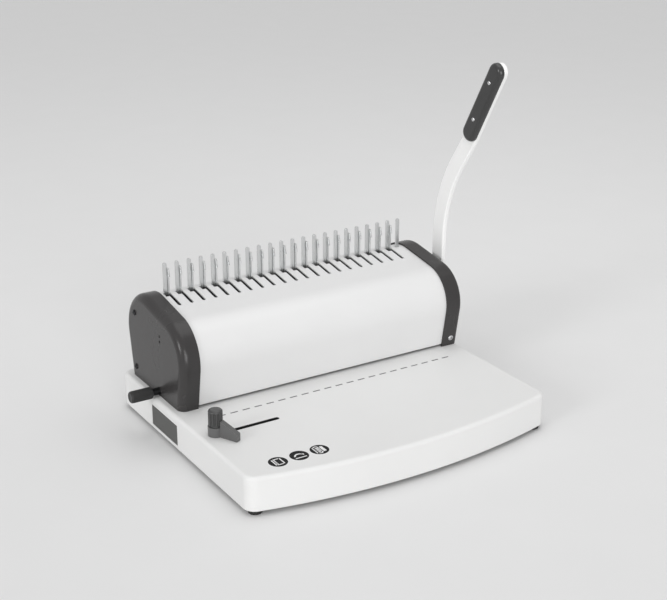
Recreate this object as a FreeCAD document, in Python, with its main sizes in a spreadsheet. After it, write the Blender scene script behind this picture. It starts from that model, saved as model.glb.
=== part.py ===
import FreeCAD, Part
import math
import os
from types import SimpleNamespace

import Sketcher
from FreeCAD import Placement, Rotation, Vector

os.makedirs("parts", exist_ok=True)
doc = FreeCAD.newDocument("comb_binding_machine")

# Driving sizes in millimetres and degrees. X runs to the right of the user, Y to the back and Z up.
DRIVING = {
    # Base
    "base_depth": 316, "base_height": 36, "base_wall": 2.5, "bow_radius": 725, "corner_radius": 13,
    "top_round": 4, "foot_height": 5, "foot_radius": 8, "foot_taper": 1.2, "bottom_plate": 1.5,
    "post_radius": 5, "post_inset_x": 11, "post_ahead": 3.3, "post_inset_rear": 15,
    # Drum housing
    "drum_length": 314, "drum_shift": 4, "end_margins": 28, "front_roll_back": 9, "front_roll_up": 51,
    "front_roll_radius": 40.2, "front_lean_angle": 9.5, "top_slope_angle": 9.3, "roll_spacing": 50.5,
    "rear_roll_radius": 44, "rear_lean_angle": 9.8, "cover_wall": 1.5, "cover_lap": 4.5, "cap_width": 21,
    "cap_wall": 2, "cap_gap": 0.3, "cap_round": 9, "far_cap_round": 5, "frame_wall": 3, "frame_inset": 6,
    "foot_flange": 10, "flange_clear": 8,
    # Punch
    "pitch": 14.2875, "hole_length": 8, "hole_depth": 3, "die_inset": 108, "plate_front": 10,
    "plate_rear": 12, "die_thick": 8, "paper_gap": 3, "guide_thick": 10, "pin_play": 0.15, "spacer_length": 4,
    "punch_bar_up": 26, "punch_bar_thick": 11.8, "punch_bar_nose": 8, "pin_seat": 6, "pin_lift": 0.8,
    "gear_clear": 1.25, "notch_play": 5, "stroke": 12, "tongue_back": 10, "tongue_depth": 20,
    "slide_play": 0.3, "spring_back": 11, "spring_radius": 4.4, "spring_wire": 1.2, "spring_turns": 6,
    "spring_x": 60, "spring_seat": 6, "stud_play": 1.2,
    # Drive
    "shaft_back": 26, "shaft_up": 52, "shaft_radius": 7, "shaft_play": 0.05, "shaft_tail": 4, "bush_wall": 3,
    "bush_flange": 1.5, "clip_gap": 1.5, "clip_thick": 1.5, "swing_angle": 75, "cam_gap": 0.2,
    "cam_width": 10, "cam_x": 100, "gear_module": 1.5, "gear_teeth": 22, "gear_width": 8, "gear_x": 126,
    "pressure_angle": 20, "tooth_tip": 0.95, "tooth_root": 1.25, "tooth_play": 0.1,
    # Comb opener
    "rack_back": 6.5, "rack_length": 40, "carriage_thick": 4, "carriage_depth": 42, "ear_inset": 2.5,
    "ear_depth": 18, "hook_back": 27, "hook_width": 1.6, "hook_depth": 5, "hook_top": 128, "hook_nose": 2.5,
    "hook_nose_height": 9, "hook_foot": 8, "blade_depth": 3, "finger_gap": 1, "finger_offset": 3.1,
    "finger_width": 4, "finger_thick": 2, "finger_top": 134, "finger_foot": 6, "finger_bar_up": 65,
    "finger_bar_depth": 8, "finger_bar_height": 18, "slit_width": 4, "slit_play": 0.9, "window_play": 0.8,
    "tie_radius": 4, "front_tie_ahead": 26, "front_tie_up": 59, "rear_tie_back": 20.5, "rear_tie_up": 29,
    # Handle
    "handle_gap": 6, "handle_thick": 6, "handle_width": 20, "handle_round": 1.6, "bend_up": 62,
    "bend_radius": 175, "bend_angle": 34, "bend_run": 37.5, "grip_angle": 29, "grip_length": 103.5,
    "grip_start": 0.5, "grip_width": 21, "grip_thick": 6.5, "grip_round": 4.5, "grip_corner": 10.2,
    "rivet_radius": 1.5, "rivet_head": 2.2, "rivet_rise": 0.7, "rivet_low": 29.5, "rivet_inset": 23.5,
    "hub_radius": 13, "washer_thick": 2, "washer_radius": 11, "bolt_head": 8.5, "bolt_radius": 8,
    "bolt_shank": 3, "bolt_reach": 15,
    # Margin gauge
    "margin_back": 26, "margin_radius": 4, "margin_lift": 5, "margin_travel": 3, "margin_turn_angle": 90,
    "margin_cam_width": 6, "margin_cam_x": 114, "margin_tail": 3, "knob_gap": 0.9, "knob_length": 24.6,
    "knob_radius": 6.5, "knob_round": 1.2, "gauge_back": 7, "gauge_thick": 2, "gauge_over": 3,
    # Side stop
    "stop_inset": 17, "stop_ahead": 87.5, "stop_radius": 8, "stop_height": 10, "stop_slot_width": 4.3,
    "liner_wall": 0.6, "liner_lip": 2.5, "liner_flange": 1, "stop_travel": 70, "stop_bolt_radius": 2,
    "stop_knob_radius": 7.4, "stop_knob_height": 16, "stop_knob_round": 2.4, "collar_radius": 5,
    "collar_height": 1.7, "stop_lift": 0.2, "fin_length": 28, "fin_angle": 26, "fin_thick": 6, "fin_rise": 17,
    "fin_tip": 8.2, "shoe_radius": 7, "shoe_thick": 2.5, "flute_radius": 1, "flute_count": 12,
    # Chip tray
    "tray_ahead": 32, "tray_width": 60, "tray_low": 4, "tray_clear": 2, "tray_gap": 0.6, "tray_wall": 1.5,
    "tray_panel": 3, "tray_short": 27, "tray_inset": 2.5, "runner_wall": 3, "runner_ledge": 7,
    # Fasteners
    "dot_radius": 1.6, "dot_ahead": 7, "dot_up": 70, "dot_spacing": 6, "cap_screw_up": 10,
    "high_screw_back": 22, "high_screw_up": 24, "low_screw_back": 24.2, "low_screw_up": 12,
    "screw_head": 3.2, "screw_shank": 1.5, "screw_rise": 1.8, "screw_boss": 4, "frame_bolt_head": 4,
    "frame_bolt_shank": 2, "frame_bolt_rise": 3,
}

sheet = doc.addObject("Spreadsheet::Sheet", "dims")
for row, (name, number) in enumerate(DRIVING.items(), 1):
    sheet.set(f"A{row}", name)
    sheet.set(f"B{row}", str(number))
    sheet.setAlias(f"B{row}", name)
doc.recompute()


class Size:
    """A number from the sheet, or worked out from it, with the expression that binds it."""

    def __init__(self, text, value):
        self.text = text
        self.value = value

    def __add__(self, other):
        return joined(self, "+", other)

    def __radd__(self, other):
        return joined(other, "+", self)

    def __sub__(self, other):
        return joined(self, "-", other)

    def __rsub__(self, other):
        return joined(other, "-", self)

    def __mul__(self, other):
        return joined(self, "*", other)

    def __rmul__(self, other):
        return joined(other, "*", self)

    def __truediv__(self, other):
        return joined(self, "/", other)

    def __neg__(self):
        return Size(f"(-1 * {self.text})", -self.value)


def as_size(number):
    return number if isinstance(number, Size) else Size(repr(float(number)), float(number))


def joined(left, sign, right):
    left, right = as_size(left), as_size(right)
    results = {"+": left.value + right.value, "-": left.value - right.value, "*": left.value * right.value}
    value = left.value / right.value if sign == "/" else results[sign]
    return Size(f"({left.text} {sign} {right.text})", value)


def root(size):
    return Size(f"sqrt({size.text})", math.sqrt(size.value))


def whole(size):
    return Size(f"floor({size.text})", float(math.floor(size.value)))


def sine(angle):
    return Size(f"sin({angle.text})", math.sin(math.radians(angle.value)))


def cosine(angle):
    return Size(f"cos({angle.text})", math.cos(math.radians(angle.value)))


dims = SimpleNamespace(**{name: Size(f"dims.{name}", float(sheet.get(name))) for name in DRIVING})
nodes = []


def bind(thing, name, size):
    thing.setExpression(name, as_size(size).text)


def node(thing, label):
    thing.Label = label
    nodes.append(thing)
    return thing


def new_body(label):
    return node(doc.addObject("PartDesign::Body", label), label)


def outline(body, plane, level, points):
    """Adds a closed sketch. A point is (u, v), or (u, v, centre_u, centre_v, radius) before an arc."""
    sketch = body.newObject("Sketcher::SketchObject", body.Name + "_outline")
    support = [item for item in body.Origin.OriginFeatures if item.Role == plane + "_Plane"][0]
    sketch.AttachmentSupport = [(support, "")]
    sketch.MapMode = "FlatFace"
    bind(sketch, "AttachmentOffset.Base.z", level)
    corners = [[as_size(part) for part in point] for point in points]
    shapes, starts, ends = [], [], []
    for index, corner in enumerate(corners):
        following = corners[(index + 1) % len(corners)]
        here = Vector(corner[0].value, corner[1].value, 0)
        there = Vector(following[0].value, following[1].value, 0)
        if len(corner) == 2:
            shapes.append(Part.LineSegment(here, there))
            forward = True
        else:
            centre = Vector(corner[2].value, corner[3].value, 0)
            forward = (here - centre).cross(there - centre).z > 0
            first, last = (here, there) if forward else (there, here)
            circle = Part.Circle(centre, Vector(0, 0, 1), corner[4].value)
            shapes.append(Part.ArcOfCircle(circle, circle.parameter(first), circle.parameter(last)))
        starts.append(1 if forward else 2)
        ends.append(2 if forward else 1)
    sketch.addGeometry(shapes, False)
    rules, sizes = [], []
    for index, corner in enumerate(corners):
        later = (index + 1) % len(corners)
        rules.append(Sketcher.Constraint("Coincident", index, ends[index], later, starts[later]))
        sizes.append(None)
        for kind, size in (("DistanceX", corner[0]), ("DistanceY", corner[1])):
            rules.append(Sketcher.Constraint(kind, -1, 1, index, starts[index], size.value))
            sizes.append(size)
        if len(corner) == 5:
            rules.append(Sketcher.Constraint("Radius", index, corner[4].value))
            sizes.append(corner[4])
    sketch.addConstraint(rules)
    for index, size in enumerate(sizes):
        if size is not None:
            bind(sketch, f"Constraints[{index}]", size)
    return sketch


def circles(body, plane, level, places):
    """Adds a sketch of circles, each given as (u, v, radius)."""
    sketch = body.newObject("Sketcher::SketchObject", body.Name + "_circles")
    support = [item for item in body.Origin.OriginFeatures if item.Role == plane + "_Plane"][0]
    sketch.AttachmentSupport = [(support, "")]
    sketch.MapMode = "FlatFace"
    bind(sketch, "AttachmentOffset.Base.z", level)
    rule = 0
    for index, place in enumerate(places):
        across, along, radius = [as_size(part) for part in place]
        centre = Vector(across.value, along.value, 0)
        sketch.addGeometry(Part.Circle(centre, Vector(0, 0, 1), radius.value), False)
        sketch.addConstraint([
            Sketcher.Constraint("DistanceX", -1, 1, index, 3, across.value),
            Sketcher.Constraint("DistanceY", -1, 1, index, 3, along.value),
            Sketcher.Constraint("Radius", index, radius.value),
        ])
        for step, size in enumerate((across, along, radius)):
            bind(sketch, f"Constraints[{rule + step}]", size)
        rule += 3
    return sketch


def raised(body, sketch, depth):
    """Pads a sketch along its normal: up for XY, to the right for YZ."""
    feature = body.newObject("PartDesign::Pad", body.Name + "_pad")
    feature.Profile = sketch
    bind(feature, "Length", depth)
    body.Tip = feature
    return feature


def sunk(body, sketch, depth):
    """Pockets a sketch along its normal: up for XY, to the right for YZ."""
    feature = body.newObject("PartDesign::Pocket", body.Name + "_pocket")
    feature.Profile = sketch
    feature.Reversed = True
    bind(feature, "Length", depth)
    body.Tip = feature
    return feature


def repeated(body, feature, sketch, spacing, count):
    """Repeats a feature to the right of the first one."""
    pattern = body.newObject("PartDesign::LinearPattern", body.Name + "_pattern")
    pattern.Originals = [feature]
    pattern.Direction = (sketch, ["H_Axis"])
    bind(pattern, "Length", spacing * (count - 1))
    bind(pattern, "Occurrences", count)
    body.Tip = pattern
    return pattern


def rounded(body, radius, wanted):
    """Rounds the edges that a test picks out."""
    doc.recompute()
    base = body.Tip
    names = [f"Edge{index}" for index, edge in enumerate(base.Shape.Edges, 1) if wanted(edge)]
    feature = body.newObject("PartDesign::Fillet", body.Name + "_round")
    feature.Base = (base, names)
    bind(feature, "Radius", radius)
    body.Tip = feature
    return feature


TOUCH = 1e-6


def at_radius(edge, radius):
    """Says whether an edge is an arc of the given radius."""
    return hasattr(edge.Curve, "Radius") and abs(edge.Curve.Radius - radius.value) < TOUCH


def all_at(edge, axis, size):
    places = [getattr(vertex.Point, axis) for vertex in edge.Vertexes]
    return all(math.isclose(place, size.value, abs_tol=TOUCH) for place in places)


def rectangle(low_u, high_u, low_v, high_v):
    return [(low_u, low_v), (high_u, low_v), (high_u, high_v), (low_u, high_v)]


def plate(label, plane, level, depth, points):
    body = new_body(label)
    raised(body, outline(body, plane, level, points), depth)
    return body


def rod(label, left, right, across, up, radius):
    """A round bar along X."""
    bar = node(doc.addObject("Part::Cylinder", label), label)
    bar.Placement = Placement(Vector(left.value, across.value, up.value), Rotation(Vector(0, 1, 0), 90))
    for name, size in (("Radius", radius), ("Height", right - left), ("Placement.Base.x", left),
                       ("Placement.Base.y", across), ("Placement.Base.z", up)):
        bind(bar, name, size)
    return bar


def group(label, solids):
    """Several equal solids that share one node."""
    thing = doc.addObject("Part::Feature", label)
    thing.Shape = solids[0] if len(solids) == 1 else Part.makeCompound(solids)
    return node(thing, label)


def along_x(left, across, up, radius, length):
    place = Vector(left.value, across.value, up.value)
    return Part.makeCylinder(radius.value, length.value, place, Vector(1, 0, 0))


def upright(place_x, place_y, low, radius, length):
    return Part.makeCylinder(radius.value, length.value, Vector(place_x.value, place_y.value, low.value))


def block(low_x, high_x, low_y, high_y, low_z, high_z):
    low = Vector(as_size(low_x).value, as_size(low_y).value, as_size(low_z).value)
    high = Vector(as_size(high_x).value, as_size(high_y).value, as_size(high_z).value)
    return Part.makeBox(high.x - low.x, high.y - low.y, high.z - low.z, low)


# Shared places
floor = as_size(0)
base_top = dims.foot_height + dims.base_height
front = -dims.base_depth / 2
rear = dims.base_depth / 2
drum_centre = dims.drum_shift
drum_left = drum_centre - dims.drum_length / 2
drum_right = drum_centre + dims.drum_length / 2
hole_count = whole((dims.drum_length - dims.end_margins) / dims.pitch) + 1
first_hole = dims.pitch * ((1 - hole_count) / 2)
cap_left = drum_left - dims.cap_width
cap_right = drum_right + dims.cap_width
half_width = cap_right
bow_y = front + dims.bow_radius
corner_x = half_width - dims.corner_radius
corner_reach = dims.bow_radius - dims.corner_radius
corner_drop = root(corner_reach * corner_reach - corner_x * corner_x)
front_corner_y = bow_y - corner_drop
frame_left = drum_left - dims.frame_wall
frame_right = drum_right + dims.frame_wall
die_y = rear - dims.die_inset
plate_front = die_y - dims.plate_front
plate_rear = die_y + dims.plate_rear
front_roll_y = die_y + dims.front_roll_back
rear_roll_y = front_roll_y + dims.roll_spacing
shaft_y = die_y + dims.shaft_back
shaft_z = base_top + dims.shaft_up
margin_y = die_y + dims.margin_back
margin_z = base_top + dims.slide_play + dims.margin_lift
guide_low = base_top + dims.paper_gap
bar_low = base_top + dims.punch_bar_up
bar_top = bar_low + dims.punch_bar_thick
gear_pitch_radius = dims.gear_module * dims.gear_teeth / 2
gear_tip_radius = gear_pitch_radius + dims.gear_module * dims.tooth_tip
carriage_low = shaft_z + gear_pitch_radius + dims.rack_back
carriage_top = carriage_low + dims.carriage_thick
swing_radians = dims.swing_angle * (math.pi / 180)
hook_travel = gear_pitch_radius * swing_radians
hook_start = shaft_y + dims.hook_back
carriage_rear = hook_start + dims.hook_depth
finger_y = carriage_rear + dims.finger_gap
finger_back = finger_y + dims.finger_thick
bush_radius = dims.shaft_radius + dims.bush_wall


def base_plan(inset):
    """Plan of the base: straight sides and rear, bowed front and round corners."""
    rear_y = rear - dims.corner_radius
    bow = dims.bow_radius - inset
    corner = dims.corner_radius - inset
    side = half_width - inset
    back = rear - inset
    touch_x = corner_x * bow / corner_reach
    touch_y = bow_y - corner_drop * bow / corner_reach
    return [
        (side, front_corner_y), (side, rear_y, corner_x, rear_y, corner), (corner_x, back),
        (-corner_x, back, -corner_x, rear_y, corner), (-side, rear_y),
        (-side, front_corner_y, -corner_x, front_corner_y, corner), (-touch_x, touch_y, 0, bow_y, bow),
        (touch_x, touch_y, corner_x, front_corner_y, corner),
    ]


def drum_path(offset, low):
    """Front, top and rear of the drum as corners from the lower front edge to the lower rear edge."""
    roll_z = base_top + dims.front_roll_up
    near = dims.front_roll_radius + offset
    far = dims.rear_roll_radius + offset
    slope_sine, slope_cosine = sine(dims.top_slope_angle), cosine(dims.top_slope_angle)
    lean_sine, lean_cosine = sine(dims.front_lean_angle), cosine(dims.front_lean_angle)
    tail_sine, tail_cosine = sine(dims.rear_lean_angle), cosine(dims.rear_lean_angle)
    shift = dims.front_roll_radius - dims.rear_roll_radius
    tail_z = roll_z + (shift + slope_sine * (rear_roll_y - front_roll_y)) / slope_cosine
    nose = (front_roll_y - near * lean_cosine, roll_z - near * lean_sine)
    brow = (front_roll_y - near * slope_sine, roll_z + near * slope_cosine)
    crown = (rear_roll_y - far * slope_sine, tail_z + far * slope_cosine)
    tail = (rear_roll_y + far * tail_cosine, tail_z - far * tail_sine)
    return [
        (nose[0] + (nose[1] - low) * lean_sine / lean_cosine, low),
        nose + (front_roll_y, roll_z, near), brow,
        crown + (rear_roll_y, tail_z, far), tail,
        (tail[0] - (tail[1] - low) * tail_sine / tail_cosine, low),
    ]


def hole_place(index):
    return first_hole + dims.pitch * index


def finger_place(index):
    return hole_place(index) - dims.finger_offset


def slot_plan(left, right, centre, half):
    """A slot along X with round ends."""
    return [
        (left, centre - half), (right, centre - half, right, centre, half),
        (right + half, centre, right, centre, half), (right, centre + half),
        (left, centre + half, left, centre, half), (left - half, centre, left, centre, half),
    ]


hole_total = int(hole_count.value)
post_x = half_width - dims.post_inset_x
post_rows = (front_corner_y - dims.post_ahead, rear - dims.post_inset_rear)
foot_places = [(sign * post_x, along) for sign in (-1, 1) for along in post_rows]
flange_spans = [(plate_front, margin_y - dims.flange_clear),
                (margin_y + dims.flange_clear, rear_roll_y + dims.flange_clear)]
flange_bolts = [(edge, (low + high) / 2)
                for edge in (frame_left - dims.foot_flange / 2, frame_right + dims.foot_flange / 2)
                for low, high in flange_spans]

# Base shell with the die window, the stop slot and the tray mouth
base_shell = plate("base_shell", "XY", dims.foot_height, dims.base_height, base_plan(0))
rounded(base_shell, dims.top_round, lambda edge: all_at(edge, "z", base_top))
sunk(base_shell, outline(base_shell, "XY", dims.foot_height, base_plan(dims.base_wall)),
     dims.base_height - dims.base_wall)
skin_low = base_top - dims.base_wall
window = rectangle(drum_left, drum_right, plate_front - dims.slide_play, plate_rear + dims.slide_play)
sunk(base_shell, outline(base_shell, "XY", skin_low, window), dims.base_wall)
stop_x = dims.stop_inset - half_width
stop_y = die_y - dims.stop_ahead
slot_half = dims.stop_slot_width / 2
rim_half = slot_half + dims.liner_wall


def stop_slot(half):
    return slot_plan(stop_x, stop_x + dims.stop_travel, stop_y, half)


sunk(base_shell, outline(base_shell, "XY", skin_low, stop_slot(rim_half)), dims.base_wall)
bolt_holes = [(across, along, dims.frame_bolt_shank) for across, along in flange_bolts]
sunk(base_shell, circles(base_shell, "XY", skin_low, bolt_holes), dims.base_wall)
tray_front_y = die_y - dims.tray_ahead
tray_rear_y = tray_front_y + dims.tray_width
tray_low = dims.foot_height + dims.tray_low
tray_high = base_top - dims.die_thick - dims.tray_clear
mouth = rectangle(tray_front_y - dims.tray_gap, tray_rear_y + dims.tray_gap,
                  tray_low - dims.tray_gap, tray_high + dims.tray_gap)
sunk(base_shell, outline(base_shell, "YZ", -half_width, mouth), dims.base_wall)

# Bottom plate, posts and feet
plate_top = dims.foot_height + dims.bottom_plate
bottom_plate = plate("bottom_plate", "XY", dims.foot_height, dims.bottom_plate,
                     base_plan(dims.base_wall + dims.slide_play))
foot_holes = [(across, along, dims.screw_shank) for across, along in foot_places]
sunk(bottom_plate, circles(bottom_plate, "XY", dims.foot_height, foot_holes), dims.bottom_plate)
group("base_posts", [upright(across, along, plate_top, dims.post_radius, skin_low - plate_top)
                     for across, along in foot_places])
foot_recess = dims.foot_height / 2
feet, foot_screws = [], []
for across, along in foot_places:
    tread = dims.foot_radius - dims.foot_taper
    foot = Part.makeCone(tread.value, dims.foot_radius.value, dims.foot_height.value,
                         Vector(across.value, along.value, floor.value))
    foot = foot.cut(upright(across, along, floor, dims.screw_head, foot_recess))
    feet.append(foot.cut(upright(across, along, floor, dims.screw_shank, dims.foot_height)))
    head = upright(across, along, foot_recess - dims.screw_rise, dims.screw_head, dims.screw_rise)
    shank = upright(across, along, foot_recess, dims.screw_shank, plate_top - foot_recess)
    foot_screws.append(head.fuse(shank))
group("rubber_feet", feet)
group("foot_screws", foot_screws)

# Side frames with slots for the carriage ears and the punch bar tongues
ear_rear = carriage_rear - dims.ear_inset
ear_front = ear_rear - dims.ear_depth
tongue_front = die_y + dims.tongue_back
tongue_rear = tongue_front + dims.tongue_depth
cap_screw_places = [(rear_roll_y + dims.high_screw_back, shaft_z + dims.high_screw_up),
                    (rear_roll_y + dims.low_screw_back, base_top + dims.low_screw_up)]


def side_frame(label, left, outward):
    body = plate(label, "YZ", left, dims.frame_wall, drum_path(-dims.frame_inset, base_top))
    outer = left + dims.frame_wall if outward > 0 else left
    for low, high in flange_spans:
        edges = (outer, outer + dims.foot_flange) if outward > 0 else (outer - dims.foot_flange, outer)
        raised(body, outline(body, "XY", base_top, rectangle(edges[0], edges[1], low, high)), dims.frame_wall)
    play = dims.slide_play
    ear_reach = ear_front - hook_travel
    slots = [rectangle(ear_reach - play, ear_rear + play, carriage_low - play, carriage_top + play),
             rectangle(tongue_front - play, tongue_rear + play, bar_low - dims.stroke - play, bar_top + play)]
    for slot in slots:
        sunk(body, outline(body, "YZ", left, slot), dims.frame_wall)
    bores = [(shaft_y, shaft_z, bush_radius), (margin_y, margin_z, dims.margin_radius + dims.shaft_play)]
    bores += [(across, up, dims.screw_shank) for across, up in cap_screw_places]
    sunk(body, circles(body, "YZ", left, bores), dims.frame_wall)
    bolts = [(across, along, dims.frame_bolt_shank) for across, along in flange_bolts
             if (across.value > 0) == (outward > 0)]
    sunk(body, circles(body, "XY", base_top, bolts), dims.frame_wall)
    return body


side_frame("side_frame_left", frame_left, -1)
side_frame("side_frame_right", drum_right, 1)
frame_bolts = []
for across, along in flange_bolts:
    head_low = base_top + dims.frame_wall
    shank = upright(across, along, skin_low, dims.frame_bolt_shank, head_low - skin_low)
    head = upright(across, along, head_low, dims.frame_bolt_head, dims.frame_bolt_rise)
    frame_bolts.append(shank.fuse(head))
group("frame_bolts", frame_bolts)
rod("front_tie_rod", drum_left, drum_right, front_roll_y - dims.front_tie_ahead, base_top + dims.front_tie_up,
    dims.tie_radius)
rod("rear_tie_rod", drum_left, drum_right, rear_roll_y + dims.rear_tie_back, base_top + dims.rear_tie_up,
    dims.tie_radius)

# Drum cover with its keyhole slits, and the rear cover below it
cover_left = drum_left - dims.cover_lap
cover_length = drum_right + dims.cover_lap - cover_left
outer_path = drum_path(0, guide_low)
inner_path = drum_path(-dims.cover_wall, guide_low)


def shell_section(outside, inside):
    """Closes an outer path and an inner one, with arcs turned round on the way back."""
    back = []
    for index in range(len(inside) - 1, -1, -1):
        arc = inside[index - 1][2:] if index > 0 else ()
        back.append(tuple(inside[index][:2]) + tuple(arc))
    return [tuple(point) for point in outside[:-1]] + [tuple(outside[-1][:2])] + back


cover_section = shell_section(outer_path[:5], inner_path[:5])
drum_cover = plate("drum_cover", "YZ", cover_left, cover_length, cover_section)
slit_half = dims.slit_width / 2
slit_front = hook_start - hook_travel - dims.slit_play
window_left = finger_place(0) - dims.finger_width / 2 - dims.window_play
window_rear = finger_back + dims.window_play
window_front = hook_start - dims.window_play
slit_end = slit_front + slit_half
keyhole = [
    (first_hole - slit_half, slit_end, first_hole, slit_end, slit_half),
    (first_hole, slit_front, first_hole, slit_end, slit_half),
    (first_hole + slit_half, slit_end), (first_hole + slit_half, window_rear), (window_left, window_rear),
    (window_left, window_front),
    (first_hole - slit_half, window_front),
]
cut_low = carriage_top + dims.slide_play
cut_depth = dims.rear_roll_radius
keyhole_sketch = outline(drum_cover, "XY", cut_low, keyhole)
keyhole_cut = sunk(drum_cover, keyhole_sketch, cut_depth)
repeated(drum_cover, keyhole_cut, keyhole_sketch, dims.pitch, hole_count)
last_finger = finger_place(hole_count)
last_half = dims.finger_width / 2 + dims.window_play
last_window = rectangle(last_finger - last_half, last_finger + last_half, finger_y - dims.window_play,
                        window_rear)
sunk(drum_cover, outline(drum_cover, "XY", cut_low, last_window), cut_depth)
rear_outer, rear_inner = drum_path(0, base_top), drum_path(-dims.cover_wall, base_top)
seam = dims.slide_play
rear_cover = plate("rear_cover", "YZ", cover_left, cover_length, [
    (rear_outer[4][0] - seam * sine(dims.rear_lean_angle), rear_outer[4][1] - seam), rear_outer[5],
    rear_inner[5], (rear_inner[4][0] - seam * sine(dims.rear_lean_angle), rear_inner[4][1] - seam)])

# End caps
cap_outside = dims.cap_gap + dims.cap_wall
boss_length = dims.cap_width - dims.cap_wall - dims.frame_wall


def end_cap(label, left, outward, rim, shaft_hole):
    body = plate(label, "YZ", left, dims.cap_width, drum_path(cap_outside, base_top))
    face = left + dims.cap_width if outward > 0 else left
    hollow = drum_path(dims.cap_gap, base_top)
    hollow_left = left if outward > 0 else left + dims.cap_wall
    sunk(body, outline(body, "YZ", hollow_left, hollow), dims.cap_width - dims.cap_wall)
    inside = face - dims.cap_wall if outward > 0 else hollow_left
    for radius, level in ((rim - dims.cap_wall, inside), (rim, face)):
        rounded(body, radius, lambda edge: all_at(edge, "x", level) and not all_at(edge, "z", base_top))
    boss_left = frame_right if outward > 0 else left + dims.cap_wall
    raised(body, circles(body, "YZ", boss_left, [(across, up, dims.screw_boss)
                                                 for across, up in cap_screw_places]), boss_length)
    holes = [(across, up, dims.screw_shank) for across, up in cap_screw_places] + [shaft_hole]
    sunk(body, circles(body, "YZ", left, holes), dims.cap_width)
    return body


left_cap = end_cap("end_cap_left", cap_left, -1, dims.cap_round,
                   (margin_y, margin_z, dims.margin_radius + dims.slide_play))
dot_top = base_top + dims.dot_up
dots = [(shaft_y - dims.dot_ahead, up, dims.dot_radius) for up in (dot_top, dot_top - dims.dot_spacing)]
sunk(left_cap, circles(left_cap, "YZ", cap_left, dots), dims.cap_wall / 2)
end_cap("end_cap_right", drum_right, 1, dims.far_cap_round,
        (shaft_y, shaft_z, dims.shaft_radius + dims.slide_play))
cap_screws = []
for across, up in cap_screw_places:
    left_screw = along_x(cap_left, across, up, dims.screw_shank, dims.cap_width)
    left_head = along_x(cap_left - dims.screw_rise, across, up, dims.screw_head, dims.screw_rise)
    right_screw = along_x(drum_right, across, up, dims.screw_shank, dims.cap_width)
    right_head = along_x(cap_right, across, up, dims.screw_head, dims.screw_rise)
    cap_screws += [left_screw.fuse(left_head), right_screw.fuse(right_head)]
cap_low_front = drum_path(cap_outside, base_top + dims.cap_screw_up)[0]
front_normal = Vector(0, -cosine(dims.front_lean_angle).value, -sine(dims.front_lean_angle).value)
front_seat = Vector((drum_right + dims.cap_width / 2).value, cap_low_front[0].value, cap_low_front[1].value)
cap_screws.append(Part.makeCylinder(dims.screw_head.value, dims.screw_rise.value, front_seat, front_normal))
group("cap_screws", cap_screws)

# Die set: die plate flush with the base top, spacers and punch guide
die_plate = plate("die_plate", "XY", base_top - dims.die_thick, dims.die_thick,
                  rectangle(drum_left, drum_right, plate_front, plate_rear))
hole_half = dims.hole_length / 2
depth_half = dims.hole_depth / 2


def hole_plan(play):
    return rectangle(first_hole - hole_half - play, first_hole + hole_half + play,
                     die_y - depth_half - play, die_y + depth_half + play)


die_sketch = outline(die_plate, "XY", base_top - dims.die_thick, hole_plan(dims.pin_play))
die_hole = sunk(die_plate, die_sketch, dims.die_thick)
repeated(die_plate, die_hole, die_sketch, dims.pitch, hole_count)
punch_guide = plate("punch_guide", "XY", guide_low, dims.guide_thick,
                    rectangle(drum_left, drum_right, plate_front, plate_rear))
guide_sketch = outline(punch_guide, "XY", guide_low, hole_plan(dims.pin_play))
guide_hole = sunk(punch_guide, guide_sketch, dims.guide_thick)
repeated(punch_guide, guide_hole, guide_sketch, dims.pitch, hole_count)
group("die_spacers", [block(low, low + dims.spacer_length, plate_front, plate_rear, base_top, guide_low)
                      for low in (drum_left, drum_right - dims.spacer_length)])

# Punch bar on tongues in the side frames, with its pins and return springs
bar_play = dims.slide_play
bar_front = die_y - dims.punch_bar_nose
spring_y = shaft_y + dims.spring_back
bar_rear = spring_y + dims.spring_seat
bar_plan = [
    (drum_left + bar_play, bar_front), (drum_right - bar_play, bar_front),
    (drum_right - bar_play, tongue_front), (frame_right, tongue_front), (frame_right, tongue_rear),
    (drum_right - bar_play, tongue_rear), (drum_right - bar_play, bar_rear),
    (drum_left + bar_play, bar_rear), (drum_left + bar_play, tongue_rear), (frame_left, tongue_rear),
    (frame_left, tongue_front), (drum_left + bar_play, tongue_front),
]
punch_bar = plate("punch_bar", "XY", bar_low, dims.punch_bar_thick, bar_plan)
gear_places = [drum_centre - dims.gear_x - dims.gear_width / 2,
               drum_centre + dims.gear_x - dims.gear_width / 2]
notch_low = shaft_z - gear_tip_radius - dims.gear_clear
for left in gear_places:
    notch = rectangle(left - dims.notch_play, left + dims.gear_width + dims.notch_play,
                      shaft_y - gear_pitch_radius, bar_rear)
    sunk(punch_bar, outline(punch_bar, "XY", notch_low, notch), bar_top - notch_low)
seat_sketch = outline(punch_bar, "XY", bar_low, hole_plan(0))
seat_hole = sunk(punch_bar, seat_sketch, dims.pin_seat)
repeated(punch_bar, seat_hole, seat_sketch, dims.pitch, hole_count)
pin_low = guide_low + dims.pin_lift
group("punch_pins", [block(hole_place(index) - hole_half, hole_place(index) + hole_half,
                           die_y - depth_half, die_y + depth_half, pin_low, bar_low + dims.pin_seat)
                     for index in range(hole_total)])
spring_places = [drum_centre - dims.spring_x, drum_centre + dims.spring_x]
stud_radius = dims.spring_radius - dims.spring_wire / 2 - dims.slide_play
stud_height = dims.punch_bar_up - dims.stroke - dims.stud_play
group("spring_studs", [upright(across, spring_y, base_top, stud_radius, stud_height)
                       for across in spring_places])


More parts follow.
